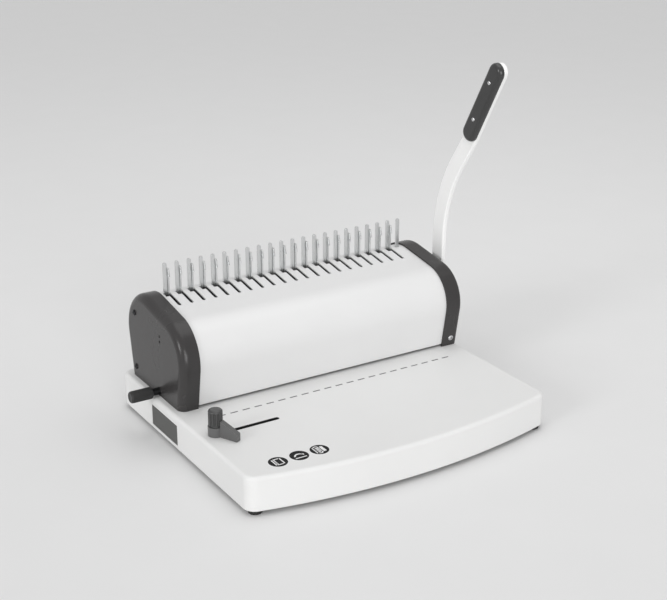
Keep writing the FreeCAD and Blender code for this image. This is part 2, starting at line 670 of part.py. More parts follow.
def coil(across, along, low, high):
    """A compression spring as one wire swept up a helix."""
    wire_radius = dims.spring_wire.value / 2
    radius = dims.spring_radius.value
    height = high.value - low.value - dims.spring_wire.value
    helix = Part.makeHelix(height / dims.spring_turns.value, height, radius)
    profile = Part.Wire([Part.Circle(Vector(radius, 0, 0), Vector(0, 1, 0), wire_radius).toShape()])
    solid = Part.Wire(helix.Edges).makePipeShell([profile], True, True)
    solid.translate(Vector(across.value, along.value, low.value + wire_radius))
    return solid


group("return_springs", [coil(across, spring_y, base_top, bar_low) for across in spring_places])

# Drive shaft with its bushes, clip, lift cams and pinions
shaft_left = frame_left - dims.shaft_tail
handle_left = cap_right + dims.handle_gap
handle_right = handle_left + dims.handle_thick
shaft_core = doc.addObject("Part::Cylinder", "shaft_core")
shaft_core.Placement = Placement(Vector(shaft_left.value, shaft_y.value, shaft_z.value),
                                 Rotation(Vector(0, 1, 0), 90))
for name, size in (("Radius", dims.shaft_radius), ("Height", handle_right - shaft_left),
                   ("Placement.Base.x", shaft_left), ("Placement.Base.y", shaft_y),
                   ("Placement.Base.z", shaft_z)):
    bind(shaft_core, name, size)
shaft_thread = doc.addObject("Part::Cylinder", "shaft_thread")
shaft_thread.Placement = shaft_core.Placement
for name, size in (("Radius", dims.bolt_shank), ("Height", dims.bolt_reach),
                   ("Placement.Base.x", handle_right - dims.bolt_reach), ("Placement.Base.y", shaft_y),
                   ("Placement.Base.z", shaft_z)):
    bind(shaft_thread, name, size)
main_shaft = node(doc.addObject("Part::Cut", "main_shaft"), "main_shaft")
main_shaft.Base = shaft_core
main_shaft.Tool = shaft_thread


def ring(left, length, inner, outer):
    """A ring round the drive shaft."""
    body = along_x(left, shaft_y, shaft_z, outer, length)
    return body.cut(along_x(left, shaft_y, shaft_z, inner, length))


bush_bore = dims.shaft_radius + dims.shaft_play
flange_radius = bush_radius + dims.bush_flange
group("shaft_bushes", [
    ring(frame_left, dims.frame_wall, bush_bore, bush_radius).fuse(
        ring(drum_left, dims.bush_flange, bush_bore, flange_radius)),
    ring(drum_right, dims.frame_wall, bush_bore, bush_radius).fuse(
        ring(drum_right - dims.bush_flange, dims.bush_flange, bush_bore, flange_radius))])
group("shaft_clip", [ring(frame_left - dims.clip_gap - dims.clip_thick, dims.clip_thick, dims.shaft_radius,
                          bush_radius)])


def lift_cam(left, across, up, width, hub, bore, first_lift, rise, sweep, start, turn):
    """A cam whose flat follower moves evenly with the angle. Start is the follower's side at rest."""
    rate = rise.value / sweep
    edge = []
    steps = 24
    for step in range(steps + 1):
        angle = sweep * step / steps
        lift = first_lift.value + rate * angle
        heading = start + turn * angle
        normal = Vector(0, math.cos(heading), math.sin(heading))
        along = Vector(0, -math.sin(heading), math.cos(heading)) * turn
        edge.append(normal * lift + along * rate)
    curve = Part.BSplineCurve()
    curve.interpolate(edge)
    centre = Vector(0, 0, 0)
    sides = [curve.toShape(), Part.LineSegment(edge[-1], centre).toShape(),
             Part.LineSegment(centre, edge[0]).toShape()]
    sector = Part.Face(Part.Wire(sides)).extrude(Vector(width.value, 0, 0))
    disc = Part.makeCylinder(hub.value, width.value, centre, Vector(1, 0, 0))
    solid = sector.fuse(disc).cut(Part.makeCylinder(bore.value, width.value, centre, Vector(1, 0, 0)))
    solid.translate(Vector(left.value, across.value, up.value))
    return solid


cam_lift = shaft_z - bar_top - dims.cam_gap
cam_places = [drum_centre - dims.cam_x - dims.cam_width / 2, drum_centre + dims.cam_x - dims.cam_width / 2]
group("lift_cams", [lift_cam(left, shaft_y, shaft_z, dims.cam_width, bush_radius, dims.shaft_radius,
                             cam_lift, dims.stroke, swing_radians.value, -math.pi / 2, -1)
                    for left in cam_places])


def gear_half_tooth(radius, base_radius):
    """Half the angle of an involute tooth at a radius."""
    pressure = math.acos(min(1.0, base_radius / radius))
    rated = math.radians(dims.pressure_angle.value)
    start = math.pi / (2 * dims.gear_teeth.value) + math.tan(rated) - rated
    return start - (math.tan(pressure) - pressure)


def pinion(left):
    """A spur gear on the drive shaft, with a tooth standing straight up."""
    module = dims.gear_module.value
    pitch_radius = gear_pitch_radius.value
    base_radius = pitch_radius * math.cos(math.radians(dims.pressure_angle.value))
    tip, foot = gear_tip_radius.value, pitch_radius - module * dims.tooth_root.value
    low = max(base_radius, foot)
    thin = dims.tooth_play.value / pitch_radius
    sides = []
    count = int(dims.gear_teeth.value)
    steps = 5

    def spot(radius, angle):
        return Vector(0, -radius * math.sin(angle), radius * math.cos(angle))

    for tooth in range(count):
        middle = 2 * math.pi * tooth / count
        after = 2 * math.pi * (tooth + 1) / count
        radii = [low + (tip - low) * step / steps for step in range(steps + 1)]
        halves = [gear_half_tooth(radius, base_radius) - thin for radius in radii]
        rising = [spot(radius, middle - half) for radius, half in zip(radii, halves)]
        falling = [spot(radius, middle + half) for radius, half in zip(reversed(radii), reversed(halves))]
        gap_start = spot(foot, middle + gear_half_tooth(low, base_radius) - thin)
        gap_end = spot(foot, after - gear_half_tooth(low, base_radius) + thin)
        up_curve, down_curve = Part.BSplineCurve(), Part.BSplineCurve()
        up_curve.interpolate(rising)
        down_curve.interpolate(falling)
        sides += [up_curve.toShape(), Part.LineSegment(rising[-1], falling[0]).toShape(),
                  down_curve.toShape(), Part.LineSegment(falling[-1], gap_start).toShape(),
                  Part.LineSegment(gap_start, gap_end).toShape()]
        next_start = spot(low, after - gear_half_tooth(low, base_radius) + thin)
        sides.append(Part.LineSegment(gap_end, next_start).toShape())
    solid = Part.Face(Part.Wire(sides)).extrude(Vector(dims.gear_width.value, 0, 0))
    solid.translate(Vector(left.value, shaft_y.value, shaft_z.value))
    return solid.cut(along_x(left, shaft_y, shaft_z, dims.shaft_radius, dims.gear_width))


group("drive_pinions", [pinion(left) for left in gear_places])

# Hook carriage with racks and hooks
ear_plan_rear = carriage_rear
ear_plan_front = carriage_rear - dims.carriage_depth
carriage_plan = [
    (drum_left + bar_play, ear_plan_front), (drum_right - bar_play, ear_plan_front),
    (drum_right - bar_play, ear_front), (frame_right, ear_front), (frame_right, ear_rear),
    (drum_right - bar_play, ear_rear), (drum_right - bar_play, ear_plan_rear),
    (drum_left + bar_play, ear_plan_rear), (drum_left + bar_play, ear_rear), (frame_left, ear_rear),
    (frame_left, ear_front), (drum_left + bar_play, ear_front),
]
hook_carriage = plate("hook_carriage", "XY", carriage_low, dims.carriage_thick, carriage_plan)


def rack(left):
    """A straight rack under the carriage, with a tooth space above the drive shaft at rest."""
    module = dims.gear_module.value
    pitch_line = shaft_z.value + gear_pitch_radius.value
    spacing = math.pi * module
    slant = math.tan(math.radians(dims.pressure_angle.value))
    tip, foot = pitch_line - module * dims.tooth_tip.value, pitch_line + module * dims.tooth_root.value
    back = carriage_rear.value
    start = back - dims.rack_length.value
    points = []
    tooth = math.ceil((start - shaft_y.value) / spacing)
    while shaft_y.value + (tooth + 1) * spacing < back:
        middle = shaft_y.value + (tooth + 0.5) * spacing
        half = spacing / 4 - dims.tooth_play.value
        points += [Vector(0, middle - half - (foot - pitch_line) * slant, foot),
                   Vector(0, middle - half + (pitch_line - tip) * slant, tip),
                   Vector(0, middle + half - (pitch_line - tip) * slant, tip),
                   Vector(0, middle + half + (foot - pitch_line) * slant, foot)]
        tooth += 1
    opening = Vector(0, start, foot)
    points = [opening] + points + [Vector(0, back, foot), Vector(0, back, carriage_low.value),
                                   Vector(0, start, carriage_low.value), opening]
    solid = Part.Face(Part.makePolygon(points)).extrude(Vector(dims.gear_width.value, 0, 0))
    solid.translate(Vector(left.value, 0, 0))
    return solid


group("carriage_racks", [rack(left) for left in gear_places])
hook_high = base_top + dims.hook_top
hook_nose_low = hook_high - dims.hook_nose_height
hook_foot = carriage_top + dims.hook_foot
blade_back = finger_back - dims.slide_play
blade_front = blade_back - dims.blade_depth
hook_points = [
    (hook_start, carriage_top), (carriage_rear, carriage_top), (blade_back, hook_foot),
    (blade_back, hook_high), (blade_front, hook_high), (blade_front - dims.hook_nose, hook_nose_low),
    (blade_front, hook_nose_low), (blade_front, hook_foot),
]
hook_edge = [Vector(0, along.value, up.value) for along, up in hook_points + hook_points[:1]]
hook_face = Part.Face(Part.makePolygon(hook_edge))
hooks = []
for index in range(hole_total):
    hook = hook_face.extrude(Vector(dims.hook_width.value, 0, 0))
    hook.translate(Vector((hole_place(index) - dims.hook_width / 2).value, 0, 0))
    hooks.append(hook)
group("comb_hooks", hooks)

# Fixed fingers on their bar
finger_low = base_top + dims.finger_bar_up + dims.finger_foot
finger_high = base_top + dims.finger_top
fingers = []
for index in range(hole_total + 1):
    left = finger_place(index) - dims.finger_width / 2
    stem_top = finger_high - dims.finger_width / 2
    stem = block(left, left + dims.finger_width, finger_y, finger_back, finger_low, stem_top)
    tip_centre = Vector(finger_place(index).value, finger_y.value, stem_top.value)
    tip_radius = dims.finger_width / 2
    tip = Part.makeCylinder(tip_radius.value, dims.finger_thick.value, tip_centre, Vector(0, 1, 0))
    fingers.append(stem.fuse(tip).removeSplitter())
group("comb_fingers", fingers)
plate("finger_bar", "XY", base_top + dims.finger_bar_up, dims.finger_bar_height,
      rectangle(drum_left, drum_right, finger_back, finger_back + dims.finger_bar_depth))

# Handle bar with its grip
bend_z = shaft_z + dims.bend_up
bend_y = shaft_y - dims.bend_radius
bar_half = dims.handle_width / 2
bend_sine, bend_cosine = sine(dims.bend_angle), cosine(dims.bend_angle)
lean_sine, lean_cosine = sine(dims.grip_angle), cosine(dims.grip_angle)
middle_angle = (dims.bend_angle + dims.grip_angle) / 2
half_kink = (dims.bend_angle - dims.grip_angle) / 2
kink_y = bend_y + dims.bend_radius * bend_cosine - dims.bend_run * bend_sine
kink_z = bend_z + dims.bend_radius * bend_sine + dims.bend_run * bend_cosine
side_y = bar_half * cosine(middle_angle) / cosine(half_kink)
side_z = bar_half * sine(middle_angle) / cosine(half_kink)
outer_radius = dims.bend_radius + bar_half
inner_radius = dims.bend_radius - bar_half


def grip_spot(along, across):
    """A point by its distance along the grip from the kink and to the rear of its middle line."""
    return (kink_y - along * lean_sine + across * lean_cosine,
            kink_z + along * lean_cosine + across * lean_sine)


end_along = dims.grip_length - bar_half
end_round = grip_spot(end_along, 0) + (bar_half,)
handle_points = [
    (shaft_y + bar_half, shaft_z), (shaft_y + bar_half, bend_z, bend_y, bend_z, outer_radius),
    (bend_y + outer_radius * bend_cosine, bend_z + outer_radius * bend_sine),
    (kink_y + side_y, kink_z + side_z), grip_spot(end_along, bar_half) + end_round,
    grip_spot(dims.grip_length, 0) + end_round, grip_spot(end_along, -bar_half),
    (kink_y - side_y, kink_z - side_z),
    (bend_y + inner_radius * bend_cosine, bend_z + inner_radius * bend_sine, bend_y, bend_z, inner_radius),
    (shaft_y - bar_half, bend_z), (shaft_y - bar_half, shaft_z),
]
handle_bar = plate("handle_bar", "YZ", handle_left, dims.handle_thick, handle_points)
raised(handle_bar, circles(handle_bar, "YZ", handle_left, [(shaft_y, shaft_z, dims.hub_radius)]),
       dims.handle_thick)
rivet_spots = [grip_spot(dims.rivet_low, 0), grip_spot(dims.grip_length - dims.rivet_inset, 0)]
rivet_holes = [spot + (dims.rivet_radius,) for spot in rivet_spots]
shaft_bore = [(shaft_y, shaft_z, dims.shaft_radius)]
sunk(handle_bar, circles(handle_bar, "YZ", handle_left, shaft_bore + rivet_holes), dims.handle_thick)
rounded(handle_bar, dims.handle_round, lambda edge: not edge.isClosed()
        and not at_radius(edge, dims.hub_radius)
        and (all_at(edge, "x", handle_left) or all_at(edge, "x", handle_right)))
grip_left = handle_left - dims.grip_thick
grip_half = dims.grip_width / 2
grip_scale = plate("grip_scale", "YZ", grip_left, dims.grip_thick, [
    grip_spot(dims.grip_start, grip_half), grip_spot(dims.grip_length, grip_half),
    grip_spot(dims.grip_length, -grip_half), grip_spot(dims.grip_start, -grip_half)])
rounded(grip_scale, dims.grip_corner, lambda edge: not all_at(edge, "x", grip_left)
        and not all_at(edge, "x", handle_left))
rounded(grip_scale, dims.grip_round, lambda edge: all_at(edge, "x", grip_left))
sunk(grip_scale, circles(grip_scale, "YZ", grip_left, rivet_holes), dims.grip_thick)
rivets = []
for along, up in rivet_spots:
    rivet = along_x(grip_left, along, up, dims.rivet_radius, handle_right - grip_left)
    rivet = rivet.fuse(along_x(grip_left - dims.rivet_rise, along, up, dims.rivet_head, dims.rivet_rise))
    rivets.append(rivet.fuse(along_x(handle_right, along, up, dims.rivet_head, dims.rivet_rise)))
group("grip_rivets", rivets)
group("handle_spacer", [ring(cap_right + dims.slide_play, dims.handle_gap - dims.slide_play,
                             dims.shaft_radius, dims.hub_radius)])
group("handle_washer", [ring(handle_right, dims.washer_thick, dims.bolt_shank, dims.washer_radius)])
bolt_left = handle_right + dims.washer_thick
hexagon = []
flats = 6
for side in range(flats):
    turned = 2 * math.pi * side / flats
    hexagon.append(Vector(0, math.cos(turned), math.sin(turned)) * dims.bolt_radius.value)
bolt_head = Part.Face(Part.makePolygon(hexagon + hexagon[:1])).extrude(Vector(dims.bolt_head.value, 0, 0))
bolt_head.translate(Vector(bolt_left.value, shaft_y.value, shaft_z.value))
bolt_shank = along_x(handle_right - dims.bolt_reach, shaft_y, shaft_z, dims.bolt_shank,
                     dims.bolt_reach + dims.washer_thick)
group("handle_bolt", [bolt_head.fuse(bolt_shank)])

# Margin gauge: knob, shaft, cams and the stop blade in the paper gap
knob_right = -half_width - dims.knob_gap
knob_left = knob_right - dims.knob_length
rod("margin_shaft", knob_right, frame_right + dims.margin_tail, margin_y, margin_z, dims.margin_radius)
margin_knob = new_body("margin_knob")
raised(margin_knob, circles(margin_knob, "YZ", knob_left, [(margin_y, margin_z, dims.knob_radius)]),
       knob_right - knob_left)
rounded(margin_knob, dims.knob_round, lambda edge: all_at(edge, "x", knob_left))
margin_places = [drum_centre - dims.margin_cam_x, drum_centre + dims.margin_cam_x]
group("margin_cams", [lift_cam(left, margin_y, margin_z, dims.margin_cam_width,
                               dims.margin_lift - dims.cam_gap, dims.margin_radius,
                               dims.margin_lift, dims.margin_travel,
                               math.radians(dims.margin_turn_angle.value), math.pi, -1)
                      for left in margin_places])
gauge_low = base_top + dims.slide_play
gauge_rear = margin_y - dims.margin_lift - dims.cam_gap
gauge_left = drum_left + dims.spacer_length + dims.slide_play
gauge_right = drum_right - dims.spacer_length - dims.slide_play
back_gauge = plate("back_gauge", "XY", gauge_low, dims.gauge_thick,
                   rectangle(gauge_left, gauge_right, die_y + dims.gauge_back, gauge_rear))
upstand = margin_z - gauge_low + dims.gauge_over
for left in margin_places:
    raised(back_gauge, outline(back_gauge, "XY", gauge_low, rectangle(
        left, left + dims.margin_cam_width, gauge_rear - dims.gauge_thick, gauge_rear)), upstand)

# Liner of the stop slot, with a flange under the base top
liner_low = skin_low - dims.liner_flange
slot_liner = plate("slot_liner", "XY", liner_low, dims.liner_flange, stop_slot(rim_half + dims.liner_lip))
raised(slot_liner, outline(slot_liner, "XY", skin_low, stop_slot(rim_half)), dims.base_wall)
sunk(slot_liner, outline(slot_liner, "XY", liner_low, stop_slot(slot_half)),
     dims.liner_flange + dims.base_wall)


# Side stop with its clamp bolt, shoe and knob, drawn about the bolt and then turned and moved
def stop_body(label):
    body = new_body(label)
    body.Placement = Placement(Vector(stop_x.value, stop_y.value, 0),
                               Rotation(Vector(0, 0, 1), dims.fin_angle.value))
    bind(body, "Placement.Base.x", stop_x)
    bind(body, "Placement.Base.y", stop_y)
    bind(body, "Placement.Rotation.Angle", dims.fin_angle)
    return body


stop_low = base_top + dims.stop_lift
stop_top = stop_low + dims.stop_height
fin_root = dims.stop_radius / 2
fin_start = dims.stop_knob_radius + dims.slide_play
side_stop = stop_body("side_stop")
raised(side_stop, circles(side_stop, "XY", stop_low, [(0, 0, dims.stop_radius)]), dims.stop_height)
raised(side_stop, circles(side_stop, "XY", stop_top, [(0, 0, dims.collar_radius)]), dims.collar_height)
raised(side_stop, outline(side_stop, "YZ", -dims.fin_thick / 2, [
    (-fin_root, stop_low), (-fin_root, stop_top), (-fin_start, stop_top),
    (-fin_start, stop_low + dims.fin_rise), (-dims.fin_length, stop_low + dims.fin_tip),
    (-dims.fin_length, stop_low)]), dims.fin_thick)
knob_low = stop_top + dims.collar_height + dims.slide_play
sunk(side_stop, circles(side_stop, "XY", stop_low, [(0, 0, dims.stop_bolt_radius)]), knob_low - stop_low)
shoe_low = liner_low - dims.slide_play - dims.shoe_thick
bolt_top = knob_low + dims.stop_knob_height / 2
group("stop_bolt", [upright(stop_x, stop_y, shoe_low, dims.stop_bolt_radius, bolt_top - shoe_low)])
shoe = upright(stop_x, stop_y, shoe_low, dims.shoe_radius, dims.shoe_thick)
group("stop_shoe", [shoe.cut(upright(stop_x, stop_y, shoe_low, dims.stop_bolt_radius, dims.shoe_thick))])
stop_knob = stop_body("stop_knob")
raised(stop_knob, circles(stop_knob, "XY", knob_low, [(0, 0, dims.stop_knob_radius)]), dims.stop_knob_height)
rounded(stop_knob, dims.stop_knob_round, lambda edge: all_at(edge, "z", knob_low + dims.stop_knob_height))
sunk(stop_knob, circles(stop_knob, "XY", knob_low, [(0, 0, dims.stop_bolt_radius + dims.shaft_play)]),
     dims.stop_knob_height / 2 + dims.slide_play)
flute_sketch = circles(stop_knob, "XY", knob_low, [(dims.stop_knob_radius, 0, dims.flute_radius)])
flute = sunk(stop_knob, flute_sketch, dims.stop_knob_height - dims.stop_knob_round)
flutes = stop_knob.newObject("PartDesign::PolarPattern", "stop_knob_flutes")
flutes.Originals = [flute]
flutes.Axis = (flute_sketch, ["N_Axis"])
flutes.Angle = 360
bind(flutes, "Occurrences", dims.flute_count)
stop_knob.Tip = flutes

# Chip tray on its runners
panel_left = -half_width
panel_right = panel_left + dims.tray_panel
tray_front = plate("tray_front", "YZ", panel_left, dims.tray_panel,
                   rectangle(tray_front_y, tray_rear_y, tray_low, tray_high))
box_front = tray_front_y + dims.tray_inset
box_rear = tray_rear_y - dims.tray_inset
box_low = plate_top + dims.runner_wall + dims.slide_play
box_high = tray_high - dims.tray_inset
tray_end = half_width - dims.tray_short
chip_tray = plate("chip_tray", "XY", box_low, box_high - box_low,
                  rectangle(panel_right, tray_end, box_front, box_rear))
sunk(chip_tray, outline(chip_tray, "XY", box_low + dims.tray_wall, rectangle(
    panel_right + dims.tray_wall, tray_end - dims.tray_wall, box_front + dims.tray_wall,
    box_rear - dims.tray_wall)), box_high - box_low - dims.tray_wall)
runner_left = panel_right + dims.slide_play
runners = []
for inner, outward in ((box_front - dims.slide_play, -1), (box_rear + dims.slide_play, 1)):
    web_outer = inner + dims.runner_wall * outward
    ledge_inner = inner - dims.runner_ledge * outward
    low, high = sorted((web_outer, ledge_inner), key=lambda size: size.value)
    ledge = block(runner_left, tray_end, low, high, plate_top, plate_top + dims.runner_wall)
    low, high = sorted((web_outer, inner), key=lambda size: size.value)
    web = block(runner_left, tray_end, low, high, plate_top, box_low + dims.runner_ledge)
    runners.append(ledge.fuse(web).removeSplitter())
group("tray_runners", runners)

doc.recompute()
for thing in doc.Objects:
    if "Invalid" in thing.State or "Error" in thing.State:
        raise RuntimeError(f"{thing.Label} did not rebuild")
for thing in nodes:
    if thing.Shape.isNull() or not thing.Shape.isValid():
        raise RuntimeError(f"{thing.Label} has no sound shape")
    thing.Shape.exportStep(f"parts/{thing.Label}.step")
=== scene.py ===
import math

import bmesh
import bpy
from mathutils import Matrix, Vector


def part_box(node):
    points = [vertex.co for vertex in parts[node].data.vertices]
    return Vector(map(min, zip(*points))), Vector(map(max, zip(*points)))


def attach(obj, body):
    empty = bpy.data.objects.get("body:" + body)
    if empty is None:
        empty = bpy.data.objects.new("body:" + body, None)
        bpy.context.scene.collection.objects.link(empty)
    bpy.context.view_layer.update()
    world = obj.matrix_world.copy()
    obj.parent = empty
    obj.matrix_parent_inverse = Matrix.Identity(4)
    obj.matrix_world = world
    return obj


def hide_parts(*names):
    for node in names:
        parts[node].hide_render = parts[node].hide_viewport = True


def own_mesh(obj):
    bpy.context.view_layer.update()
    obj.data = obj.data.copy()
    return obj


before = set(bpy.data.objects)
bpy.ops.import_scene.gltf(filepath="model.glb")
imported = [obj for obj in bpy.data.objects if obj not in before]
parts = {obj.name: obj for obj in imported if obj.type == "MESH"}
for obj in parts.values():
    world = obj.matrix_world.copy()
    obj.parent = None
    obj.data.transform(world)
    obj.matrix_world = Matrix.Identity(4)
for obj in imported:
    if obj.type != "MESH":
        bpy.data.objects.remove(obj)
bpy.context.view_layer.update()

# Base shell. An upturned tray of pale grey moulded plastic with a fine spark-eroded texture, whose
# top is the table for the paper. The die set, the side frames and the feet are screwed to it.
SHELL_TONES = ((0.725, 0.725, 0.720, 1), (0.770, 0.770, 0.766, 1))
SHELL_GLOSS = (0.52, 0.62)
SHELL_GRAIN, SHELL_PITS = 1500.0, 0.00012
SHELL_EDGE = 0.0008
GRAIN_DETAIL, CLOUD_DETAIL = 3.0, 4.0
SLOW_CLOUD = 14.0
PIT_STRENGTH = 0.5
EDGE_SAMPLES = 6
EDGE_TURN = 0.7
# How much lighter the rounded edges are painted: a painted highlight along every edge.
EDGE_HIGHLIGHT = 0.35
MASK_RANGE = (0.3, 0.7)
MIX_FACTOR, MIX_DARK, MIX_LIGHT, MIX_RESULT = 0, 6, 7, 2


def skin_grain_group():
    """Fine pits of a moulded or sprayed skin, with a slow cloudy drift over the surface."""
    group = bpy.data.node_groups.new("skin_grain", "ShaderNodeTree")
    for label in ("Grain", "Cloud"):
        group.interface.new_socket(label, in_out="INPUT", socket_type="NodeSocketFloat")
    for label in ("Height", "Drift"):
        group.interface.new_socket(label, in_out="OUTPUT", socket_type="NodeSocketFloat")
    given = group.nodes.new("NodeGroupInput")
    result = group.nodes.new("NodeGroupOutput")
    place = group.nodes.new("ShaderNodeTexCoord")
    for scale, output, detail in (("Grain", "Height", GRAIN_DETAIL), ("Cloud", "Drift", CLOUD_DETAIL)):
        noise = group.nodes.new("ShaderNodeTexNoise")
        noise.inputs["Detail"].default_value = detail
        group.links.new(place.outputs["Object"], noise.inputs["Vector"])
        group.links.new(given.outputs[scale], noise.inputs["Scale"])
        group.links.new(noise.outputs["Fac"], result.inputs[output])
    return group


def soft_edge_group():
    """The small radius that a tool leaves on every edge, and a mask of where that radius is."""
    group = bpy.data.node_groups.new("soft_edge", "ShaderNodeTree")
    group.interface.new_socket("Radius", in_out="INPUT", socket_type="NodeSocketFloat")
    group.interface.new_socket("Normal", in_out="OUTPUT", socket_type="NodeSocketVector")
    group.interface.new_socket("Edge", in_out="OUTPUT", socket_type="NodeSocketFloat")
    given = group.nodes.new("NodeGroupInput")
    result = group.nodes.new("NodeGroupOutput")
    bevel = group.nodes.new("ShaderNodeBevel")
    bevel.samples = EDGE_SAMPLES
    surface = group.nodes.new("ShaderNodeNewGeometry")
    compare = group.nodes.new("ShaderNodeVectorMath")
    compare.operation = "DOT_PRODUCT"
    mask = group.nodes.new("ShaderNodeMapRange")
    mask.inputs["From Min"].default_value = 1.0
    mask.inputs["From Max"].default_value = EDGE_TURN
    group.links.new(given.outputs["Radius"], bevel.inputs["Radius"])
    group.links.new(bevel.outputs["Normal"], compare.inputs[0])
    group.links.new(surface.outputs["True Normal"], compare.inputs[1])
    group.links.new(compare.outputs["Value"], mask.inputs["Value"])
    group.links.new(bevel.outputs["Normal"], result.inputs["Normal"])
    group.links.new(mask.outputs["Result"], result.inputs["Edge"])
    return group


skin_grain = skin_grain_group()
soft_edge = soft_edge_group()


def blank(name):
    """A new material with its node tree and its shader."""
    material = bpy.data.materials.new(name)
    material.use_nodes = True
    return material, material.node_tree, material.node_tree.nodes["Principled BSDF"]


def shaded(tree, mask, tones, gloss):
    """Lets a mask drive the colour and the gloss of a material's shader."""
    shader = tree.nodes["Principled BSDF"]
    tint = tree.nodes.new("ShaderNodeMix")
    tint.data_type = "RGBA"
    tint.inputs[MIX_DARK].default_value, tint.inputs[MIX_LIGHT].default_value = tones
    rough = tree.nodes.new("ShaderNodeMapRange")
    rough.inputs["From Min"].default_value, rough.inputs["From Max"].default_value = MASK_RANGE
    rough.inputs["To Min"].default_value, rough.inputs["To Max"].default_value = gloss
    tree.links.new(mask, tint.inputs[MIX_FACTOR])
    tree.links.new(mask, rough.inputs["Value"])
    tree.links.new(tint.outputs[MIX_RESULT], shader.inputs["Base Color"])
    tree.links.new(rough.outputs["Result"], shader.inputs["Roughness"])


def raised(tree, height, strength, depth):
    """Lets a height break the reflections of a material's shader."""
    relief = tree.nodes.new("ShaderNodeBump")
    relief.inputs["Strength"].default_value = strength
    relief.inputs["Distance"].default_value = depth
    tree.links.new(height, relief.inputs["Height"])
    tree.links.new(relief.outputs["Normal"], tree.nodes["Principled BSDF"].inputs["Normal"])
    return relief


def rounded(tree, relief, radius):
    """Gives a material's edges a small radius, and returns the mask of those edges."""
    rim = tree.nodes.new("ShaderNodeGroup")
    rim.node_tree = soft_edge
    rim.inputs["Radius"].default_value = radius
    tree.links.new(rim.outputs["Normal"], relief.inputs["Normal"])
    return rim.outputs["Edge"]


def skin(name, tones, gloss, grain, depth, edge=0.0, cloud=SLOW_CLOUD):
    """A moulded or sprayed surface: tone and gloss drift, fine pits break the reflections, and with an
    edge radius the edges carry a painted highlight.
    """
    material, tree, _ = blank(name)
    pores = tree.nodes.new("ShaderNodeGroup")
    pores.node_tree = skin_grain
    pores.inputs["Grain"].default_value = grain
    pores.inputs["Cloud"].default_value = cloud
    relief = raised(tree, pores.outputs["Height"], PIT_STRENGTH, depth)
    mask = pores.outputs["Drift"]
    if edge:
        # The edge mask paints the edges lighter as a painted highlight, and makes them a little rougher.
        lit_edges = tree.nodes.new("ShaderNodeMath")
        lit_edges.operation = "MULTIPLY_ADD"
        lit_edges.inputs[1].default_value = EDGE_HIGHLIGHT
        tree.links.new(rounded(tree, relief, edge), lit_edges.inputs[0])
        tree.links.new(pores.outputs["Drift"], lit_edges.inputs[2])
        mask = lit_edges.outputs["Value"]
    shaded(tree, mask, tones, gloss)
    return material


def dress(material, *names):
    """Gives a finish to pieces that keep their built shape."""
    for name in names:
        parts[name].data.materials.clear()
        parts[name].data.materials.append(material)


shell_plastic = skin("shell_plastic", SHELL_TONES, SHELL_GLOSS, SHELL_GRAIN, SHELL_PITS, SHELL_EDGE)
dress(shell_plastic, "base_shell", "base_posts")

# Printed marks. A row of grey dashes shows where the holes will fall, and three black discs carry
# the signs for the steps of the work. All are pad-printed ink on the table, a few hundredths thick.
TABLE_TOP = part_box("base_shell")[1].z
INK_LOW = TABLE_TOP - 0.00002
INK_HIGH = TABLE_TOP + 0.00004
SIGN_HIGH = TABLE_TOP + 0.00007
DASH_COUNT = 21
HOLE_PITCH = 0.0142875
DASH_LONG, DASH_WIDE = 0.0086, 0.0021
DASH_X, DASH_Y = -0.1399, -0.0021
DISC_CENTRES = [(-0.1406, -0.1196), (-0.1167, -0.1191), (-0.0935, -0.1188)]
DISC_RADIUS, DISC_SIDES = 0.0097, 64
INK_GRAIN, INK_PITS = 3000.0, 0.00003
INK_GLOSS, BLACK_GLOSS = (0.5, 0.6), (0.6, 0.7)
INK_CLOUD, BLACK_CLOUD = 900.0, 700.0
INK_SHINE = 0.2
BAND_STEPS = 20


def grown(tree, name, inputs, source=None):
    """Runs a node tree on an object and keeps the outcome as a plain mesh object."""
    start = source or bpy.data.meshes.new(name)
    seed = bpy.data.objects.new(name, start)
    bpy.context.collection.objects.link(seed)
    modifier = seed.modifiers.new("grow", "NODES")
    modifier.node_group = tree
    for socket in tree.interface.items_tree:
        if socket.name in inputs:
            modifier[socket.identifier] = inputs[socket.name]
    bpy.context.view_layer.update()
    depsgraph = bpy.context.evaluated_depsgraph_get()
    mesh = bpy.data.meshes.new_from_object(seed.evaluated_get(depsgraph))
    seed.modifiers.remove(modifier)
    seed.data = mesh
    mesh.name = name
    return seed


def tree_with(name, sockets):
    """An empty geometry tree with named inputs and one geometry output."""
    tree = bpy.data.node_groups.new(name, "GeometryNodeTree")
    tree.interface.new_socket("Geometry", in_out="OUTPUT", socket_type="NodeSocketGeometry")
    tree.interface.new_socket("Points", in_out="INPUT", socket_type="NodeSocketGeometry")
    for label, kind in sockets:
        tree.interface.new_socket(label, in_out="INPUT", socket_type="NodeSocket" + kind)
    return tree, tree.nodes.new("NodeGroupInput"), tree.nodes.new("NodeGroupOutput")


def finished(tree, instances, given, result):
    """Ends a geometry tree: the copies become real and take their finish."""
    real = tree.nodes.new("GeometryNodeRealizeInstances")
    finish = tree.nodes.new("GeometryNodeSetMaterial")
    tree.links.new(instances, real.inputs["Geometry"])
    tree.links.new(real.outputs["Geometry"], finish.inputs["Geometry"])
    tree.links.new(given.outputs["Finish"], finish.inputs["Material"])
    tree.links.new(finish.outputs["Geometry"], result.inputs["Geometry"])


